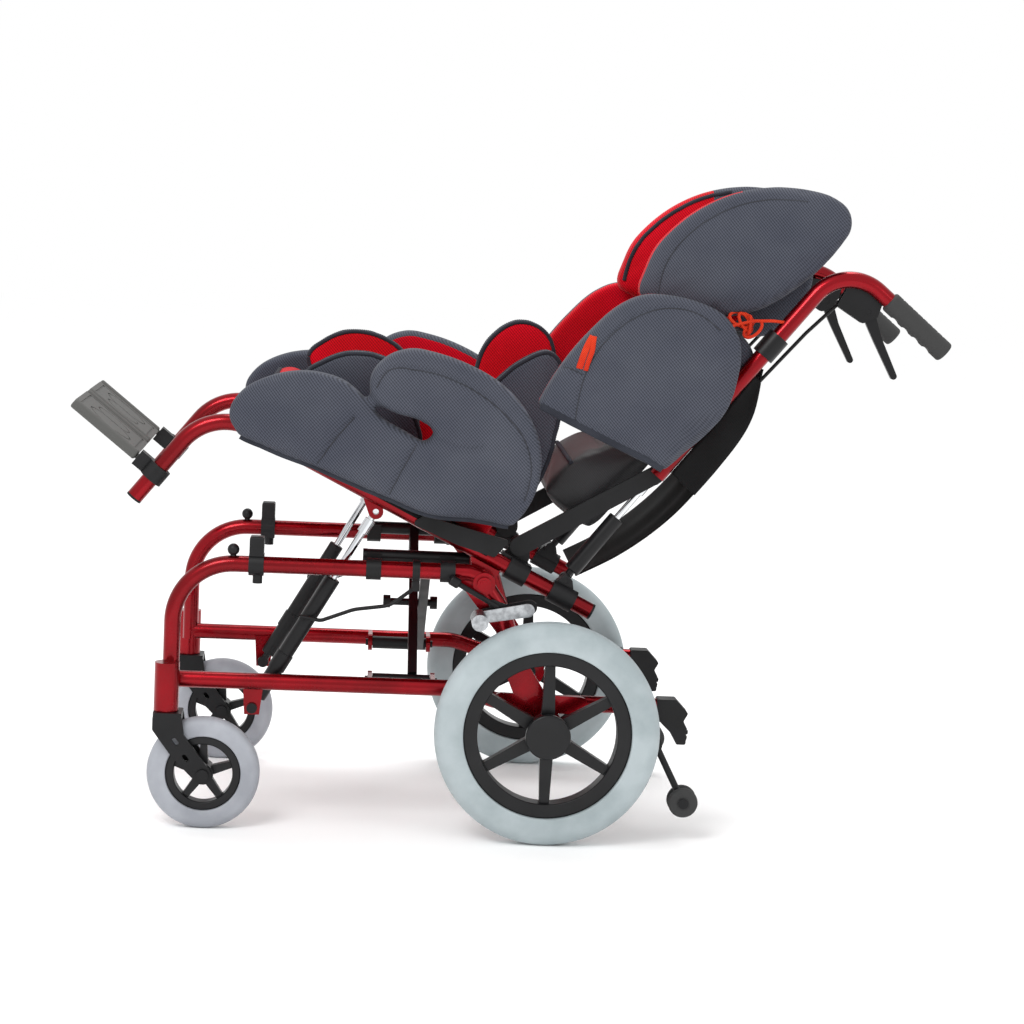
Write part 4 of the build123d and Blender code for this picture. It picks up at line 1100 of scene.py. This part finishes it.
@dataclass
class HeadCushion:
    """Head cushion: a middle pad and a deep wing on each side."""

    y_outer: float = -185.0
    y_inner: float = -129.0
    wing: list[Point] = field(default_factory=lambda: [
        (100, 735), (107, 765), (120, 796), (140, 820), (178, 851), (222, 872), (266, 881), (317, 880),
        (354, 873), (377, 856), (382, 834), (369, 810), (336, 770), (301, 741), (255, 716), (205, 706),
        (140, 714),
    ])
    red_until: float = 232.0

    def build(self) -> None:
        """Builds both wings and the middle pad."""
        seam = path_in_plane(
            [(124, 728), (131, 770), (154, 808), (192, 840), (232, 859), (272, 867), (322, 866)], self.y_outer
        )
        rim = path_in_plane(
            [(106, 740), (109, 767), (122, 796), (142, 820), (180, 851), (224, 872), (262, 880)], self.y_inner
        )
        pad = Pad(
            "head_wing", self.wing, self.y_outer, self.y_inner,
            two_tone("head_wing_mesh", 168.0, (1, 0, self.red_until)), round_r=17.0, seams=[seam],
            grooves=[rim], groove_mm=1.5, swell=9.0,
        )
        cover = pad.cover()
        trims = Trimmings(cover)
        piping = trims.piping("head_piping", pad.grooves)
        threads = trims.threads("head_seams", pad.seams)
        self.both("head_wing", cover, pad.finish, GREY_SLOT, True)
        self.both("head_piping", piping, BINDING, GREY_SLOT)
        self.both("head_seams", threads, THREAD, GREY_SLOT)
        self.middle()

    def both(self, name: str, mesh: bpy.types.Mesh, finish: Finish, slot: str, padded: bool = False) -> None:
        """Puts a piece on both wings."""
        right = mirrored(mesh, name)
        for side, shape in ((Side.LEFT, mesh), (Side.RIGHT, right)):
            piece = new_piece(f"{name}_{side.word}", shape, finish)
            UPHOLSTERY.fix(piece, "head", ["head_cushion"] if padded else [], folds=True)

    def middle(self) -> None:
        """Builds the pad between the wings."""
        outline = [CHAIR.back(225, 26), CHAIR.back(356, 26), CHAIR.back(362, 46), CHAIR.back(356, 70),
                   CHAIR.back(300, 74), CHAIR.back(228, 70)]
        channels = [
            [place(*_flat(CHAIR.back(distance, 74), y)) for y in range(-100, 101, 10)]
            for distance in (270, 322)
        ]
        face = two_tone("head_middle_mesh", 126.0, (0.7826, -0.6225, -249.0))
        pad = Pad("head_middle", outline, -124.0, 124.0, face, round_r=14.0, grooves=channels, swell=10.0,
                  groove_mm=3.0, slot=RED_SLOT)
        piece = new_piece("head_middle", pad.cover(), pad.finish)
        UPHOLSTERY.fix(piece, "head", ["head_cushion"], folds=True)


def _flat(point: Point, y: float) -> tuple[float, float, float]:
    """X, Y and Z of a point of a vertical plane."""
    return point[0], y, point[1]


@dataclass
class SeatAndBack:
    """Seat cushion, the back's two cushions and the slings that carry them."""

    seat_half: float = 158.0
    lumbar_half: float = 141.0
    upper_half: float = 174.0

    def build(self) -> None:
        """Builds cushions and slings."""
        self.seat_cushion()
        self.lumbar()
        self.upper_back()
        self.seat_sling()
        self.back_sling()
        self.gusset()

    def cushion(self, pad: Pad, body: str, node: str, piping: Sequence[Path3]) -> None:
        """Adds a wide cushion with its piping."""
        cover = pad.cover()
        piece = new_piece(pad.name, cover, pad.finish)
        UPHOLSTERY.fix(piece, body, [node], folds=True)
        edge = new_piece(
            f"{pad.name}_piping", Trimmings(cover).piping(f"{pad.name}_piping", piping), BINDING
        )
        UPHOLSTERY.fix(edge, body, folds=True)

    def across(self, point: Point, half: float) -> Path3:
        """Straight path across the chair through a point of the middle plane."""
        return [place(*_flat(point, y)) for y in np.linspace(-half, half, 25)]

    def seat_cushion(self) -> None:
        """Seat cushion with a raised front roll and three sewn channels."""
        outline = [CHAIR.seat(-310, 17), CHAIR.seat(-130, 17), CHAIR.seat(45, 17), CHAIR.seat(45, 50),
                   CHAIR.seat(-60, 58), CHAIR.seat(-180, 61), CHAIR.seat(-262, 70), CHAIR.seat(-300, 74),
                   CHAIR.seat(-314, 50)]
        channels = [self.across(CHAIR.seat(d, 66), 94) for d in (-240, -160, -80)]
        pad = Pad(
            "seat_pad", outline, -self.seat_half, self.seat_half, RED_KNIT, corners=(0, 2), round_r=11.0,
            grooves=channels, groove_mm=3.0, swell=8.0, voxel=6.0,
        )
        lip = [self.across(CHAIR.seat(-312, 64), 150), self.across(CHAIR.seat(-313, 24), 150)]
        self.cushion(pad, "seat_left", "seat_cushion", lip)

    def lumbar(self) -> None:
        """Lower back cushion with black sides."""
        outline = [CHAIR.back(-116, 15), CHAIR.back(-20, 15), CHAIR.back(60, 15), CHAIR.back(61, 56),
                   CHAIR.back(22, 59), CHAIR.back(-20, 76), CHAIR.back(-60, 95), CHAIR.back(-118, 97)]
        cover = Knit("back_lower_cover", "#17171a", "#222226", 0.6, sheen=0.1, thread_mm=2.5, height_mm=0.25,
                     **RED_DYE, split_y=150.0, split_line=(0, -1, -596))
        pad = Pad("lumbar_pad", outline, -self.lumbar_half, self.lumbar_half, cover, corners=(0, 2, 3, 7),
                  round_r=10.0, swell=7.0, voxel=6.0, grooves=[self.across(CHAIR.back(-20, 78), 118)])
        self.cushion(pad, "back_left", "back_cushion", [self.across(CHAIR.back(-62, 97), 138)])

    def upper_back(self) -> None:
        """Upper back cushion with a red middle between grey sides."""
        outline = [CHAIR.back(64, 14), CHAIR.back(212, 14), CHAIR.back(218, 36), CHAIR.back(212, 56),
                   CHAIR.back(140, 61), CHAIR.back(66, 57)]
        seams = [
            [place(*_flat(CHAIR.back(float(d), 62), y)) for d in np.linspace(70, 206, 15)]
            for y in (-112, 112)
        ]
        pad = Pad("upper_back_pad", outline, -self.upper_half, self.upper_half,
                  two_tone("upper_back_mesh", 112.0), round_r=12.0, swell=8.0, voxel=6.0, grooves=seams,
                  corners=(0, 5))
        self.cushion(pad, "back_left", "back_cushion", seams)

    def gusset(self) -> None:
        """Side walls of the bag between the canes and the sling."""
        edge = smooth_run(
            [CHAIR.back(186, -24), CHAIR.back(150, -44), CHAIR.back(60, -57), CHAIR.back(14, -57)], 8.0, False
        )
        rows = []
        for number, spot in enumerate(edge):
            share = number / (len(edge) - 1)
            cane = CHAIR.back(188 - share * 172, -CHAIR.tube_r - 1.5)
            rows.append([
                place(*_flat((cane[0] + (spot[0] - cane[0]) * t, cane[1] + (spot[1] - cane[1]) * t),
                             -169 + 3.0 * math.sin(math.pi * t) * math.sin(9 * share)))
                for t in np.linspace(0, 1, 9)
            ])
        left = self.sheet("sling_gusset_left", rows, 1.4)
        mesh = mirrored(left.data, "sling_gusset")
        right = new_piece("sling_gusset_right", mesh, SLING_CLOTH)
        solid = right.modifiers.new("Thickness", "SOLIDIFY")
        solid.thickness = 1.4 * MM
        solid.offset = 0
        for side, piece in ((Side.LEFT, left), (Side.RIGHT, right)):
            UPHOLSTERY.fix(piece, f"back_{side.word}")

    def sheet(self, name: str, rows: list[Path3], thickness: float) -> bpy.types.Object:
        """Cloth through rows of points, with a little thickness."""
        bm = bmesh.new()
        net = [[bm.verts.new(spot) for spot in row] for row in rows]
        for a, b in zip(net, net[1:]):
            for i in range(len(a) - 1):
                bm.faces.new((a[i], a[i + 1], b[i + 1], b[i]))
        mesh = bpy.data.meshes.new(name)
        bm.to_mesh(mesh)
        bm.free()
        piece = new_piece(name, mesh, SLING_CLOTH)
        solid = piece.modifiers.new("Thickness", "SOLIDIFY")
        solid.thickness = thickness * MM
        solid.offset = 0
        return piece

    def seat_sling(self) -> None:
        """Sling that wraps over both seat tubes."""
        wrap = CHAIR.tube_r + 1.0
        section = [
            (-CHAIR.seat_y - wrap * math.cos(a), wrap * math.sin(a)) for a in np.linspace(0, math.pi / 2, 9)
        ]
        sag = 1.5
        middle = [
            (y, wrap - sag * math.cos(y / CHAIR.seat_y * math.pi / 2)) for y in np.linspace(-150, 150, 31)
        ]
        section += middle + [(-y, h) for y, h in reversed(section)]
        rows = [
            [place(*_flat(CHAIR.seat(float(d), h), y)) for y, h in section] for d in np.linspace(-298, 52, 36)
        ]
        piece = self.sheet("seat_sling_cloth", rows, 1.2)
        UPHOLSTERY.fix(piece, "seat_left", ["seat_sling"], folds=True)

    def back_sling(self) -> None:
        """Sling that hangs behind the canes, with soft folds where it is slack."""
        line = smooth_run(
            [CHAIR.back(201, -13), CHAIR.back(186, -22), CHAIR.back(150, -45), CHAIR.back(60, -59),
             CHAIR.back(-40, -57), CHAIR.back(-120, -38), CHAIR.back(-176, -14)], 6.0, False
        )
        rows = []
        for number, (x, z) in enumerate(line):
            share = number / (len(line) - 1)
            half = 176.0 - 50.0 * min(1.0, share * 3.2)
            row = []
            for y in np.linspace(-half, half, 49):
                slack = 2.2 * math.sin(y / 17.0 + 5 * share) * math.sin(math.pi * share)
                sag = 6.0 * math.cos(y / half * math.pi / 2) * math.sin(math.pi * share)
                row.append(place(x + 0.78 * (slack + sag) * 0.6, y, z - 0.62 * (slack + sag) * 0.6))
            rows.append(row)
        piece = self.sheet("back_sling_cloth", rows, 1.6)
        UPHOLSTERY.fix(piece, "back_left", ["back_sling"], folds=True)


@dataclass(frozen=True)
class Hardware:
    """Finishes of the frame's own nodes, by the node's name without its side."""

    finishes: dict[str, Finish] = field(default_factory=lambda: {
        "side_frame": CANDY_ENAMEL, "seat_tube": CANDY_ENAMEL, "back_cane": CANDY_ENAMEL,
        "frame_fittings": MOULDED_NYLON, "seat_fittings": MOULDED_NYLON, "back_fittings": POWDER_COAT,
        "cables": MOULDED_NYLON, "rear_wheel": WHEEL_NYLON, "caster_rim": WHEEL_NYLON,
        "rear_tyre": REAR_TYRE, "caster_tyre": CASTER_TYRE, "caster_fork": POWDER_COAT,
        "footplate": FOOTPLATE_NYLON, "push_grip": GRIP_RUBBER, "antitip_wheels": GRIP_RUBBER,
        "release_lever": POWDER_COAT, "brake_lever": POWDER_COAT, "brake_shoe": ZINC_PLATE,
        "antitip_arm": POWDER_COAT, "tilt_cylinder": POWDER_COAT, "recline_cylinder": POWDER_COAT,
        "tilt_rod": HARD_CHROME, "recline_rod": HARD_CHROME, "brace_a": POWDER_COAT, "brace_b": POWDER_COAT,
    })

    def dress(self) -> None:
        """Gives each node that stays in sight its finish."""
        for name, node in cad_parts.items():
            plain = name.removesuffix("_left").removesuffix("_right")
            finish = self.finishes.get(plain)
            if finish is None:
                continue
            for number in range(len(node.material_slots)):
                node.material_slots[number].material = finish.material()
            log.info("%s is %s", name, finish.label)


@dataclass(frozen=True)
class Studio:
    """Pale floor, soft lights and the camera."""

    stand: tuple[float, float, float] = (-0.1905, -3.6851, 0.8655)
    yaw: float = 3.207
    pitch: float = 6.983
    roll: float = 2.655
    lens: float = 92.89
    floor_shade: str = "#ffffff"

    def build(self) -> None:
        """Builds the whole studio."""
        self.floor()
        self.camera()
        self.light("key", (-1.4, -2.4, 2.8), 1.3, 46.0)
        self.light("fill", (2.4, -2.4, 1.4), 1.2, 8.0)
        self.light("top", (0.3, 0.9, 3.0), 1.6, 34.0)
        bpy.context.scene.view_settings.view_transform = "Standard"
        world = bpy.data.worlds.new("studio")
        world.use_nodes = True
        back = world.node_tree.nodes["Background"]
        back.inputs["Color"].default_value = linear("#ffffff")
        back.inputs["Strength"].default_value = 1.0
        bpy.context.scene.world = world

    def floor(self) -> None:
        """Wide pale floor."""
        bm = bmesh.new()
        bmesh.ops.create_grid(bm, x_segments=1, y_segments=1, size=14.0)
        mesh = bpy.data.meshes.new("floor")
        bm.to_mesh(mesh)
        bm.free()
        floor = bpy.data.objects.new("floor", mesh)
        bpy.context.scene.collection.objects.link(floor)
        paint = Finish("floor_paint", self.floor_shade, self.floor_shade, 1.0, ior=1.05)
        mesh.materials.append(paint.material())

    def camera(self) -> None:
        """Camera a little in front of the wheel and above the seat."""
        yaw, pitch, roll = (math.radians(a) for a in (self.yaw, self.pitch, self.roll))
        ahead = Vector((math.sin(yaw) * math.cos(pitch), math.cos(yaw) * math.cos(pitch), -math.sin(pitch)))
        level = Vector((math.cos(yaw), -math.sin(yaw), 0.0))
        upright = level.cross(ahead)
        right = level * math.cos(roll) + upright * math.sin(roll)
        top = upright * math.cos(roll) - level * math.sin(roll)
        turn = Matrix((right, top, -ahead)).transposed()
        data = bpy.data.cameras.new("camera")
        data.lens = self.lens
        data.sensor_width = 36.0
        camera = bpy.data.objects.new("camera", data)
        camera.matrix_world = Matrix.Translation(Vector(self.stand)) @ turn.to_4x4()
        bpy.context.scene.collection.objects.link(camera)
        bpy.context.scene.camera = camera

    def light(self, name: str, spot: tuple[float, float, float], size: float, power: float) -> None:
        """Square soft light that looks at the seat."""
        data = bpy.data.lights.new(name, "AREA")
        data.size = size
        data.energy = power
        lamp = bpy.data.objects.new(name, data)
        lamp.location = spot
        lamp.rotation_euler = (Vector((0, 0, 0.45)) - Vector(spot)).to_track_quat("-Z", "Y").to_euler()
        bpy.context.scene.collection.objects.link(lamp)


def main() -> None:
    """Builds the chair's looks and the studio."""
    logging.basicConfig(level=logging.INFO, format="%(message)s")
    Studio().build()
    Hardware().dress()
    SidePanels().build()
    InnerPads().build()
    TrunkPads().build()
    HeadCushion().build()
    SeatAndBack().build()


if __name__ == "__main__":
    main()
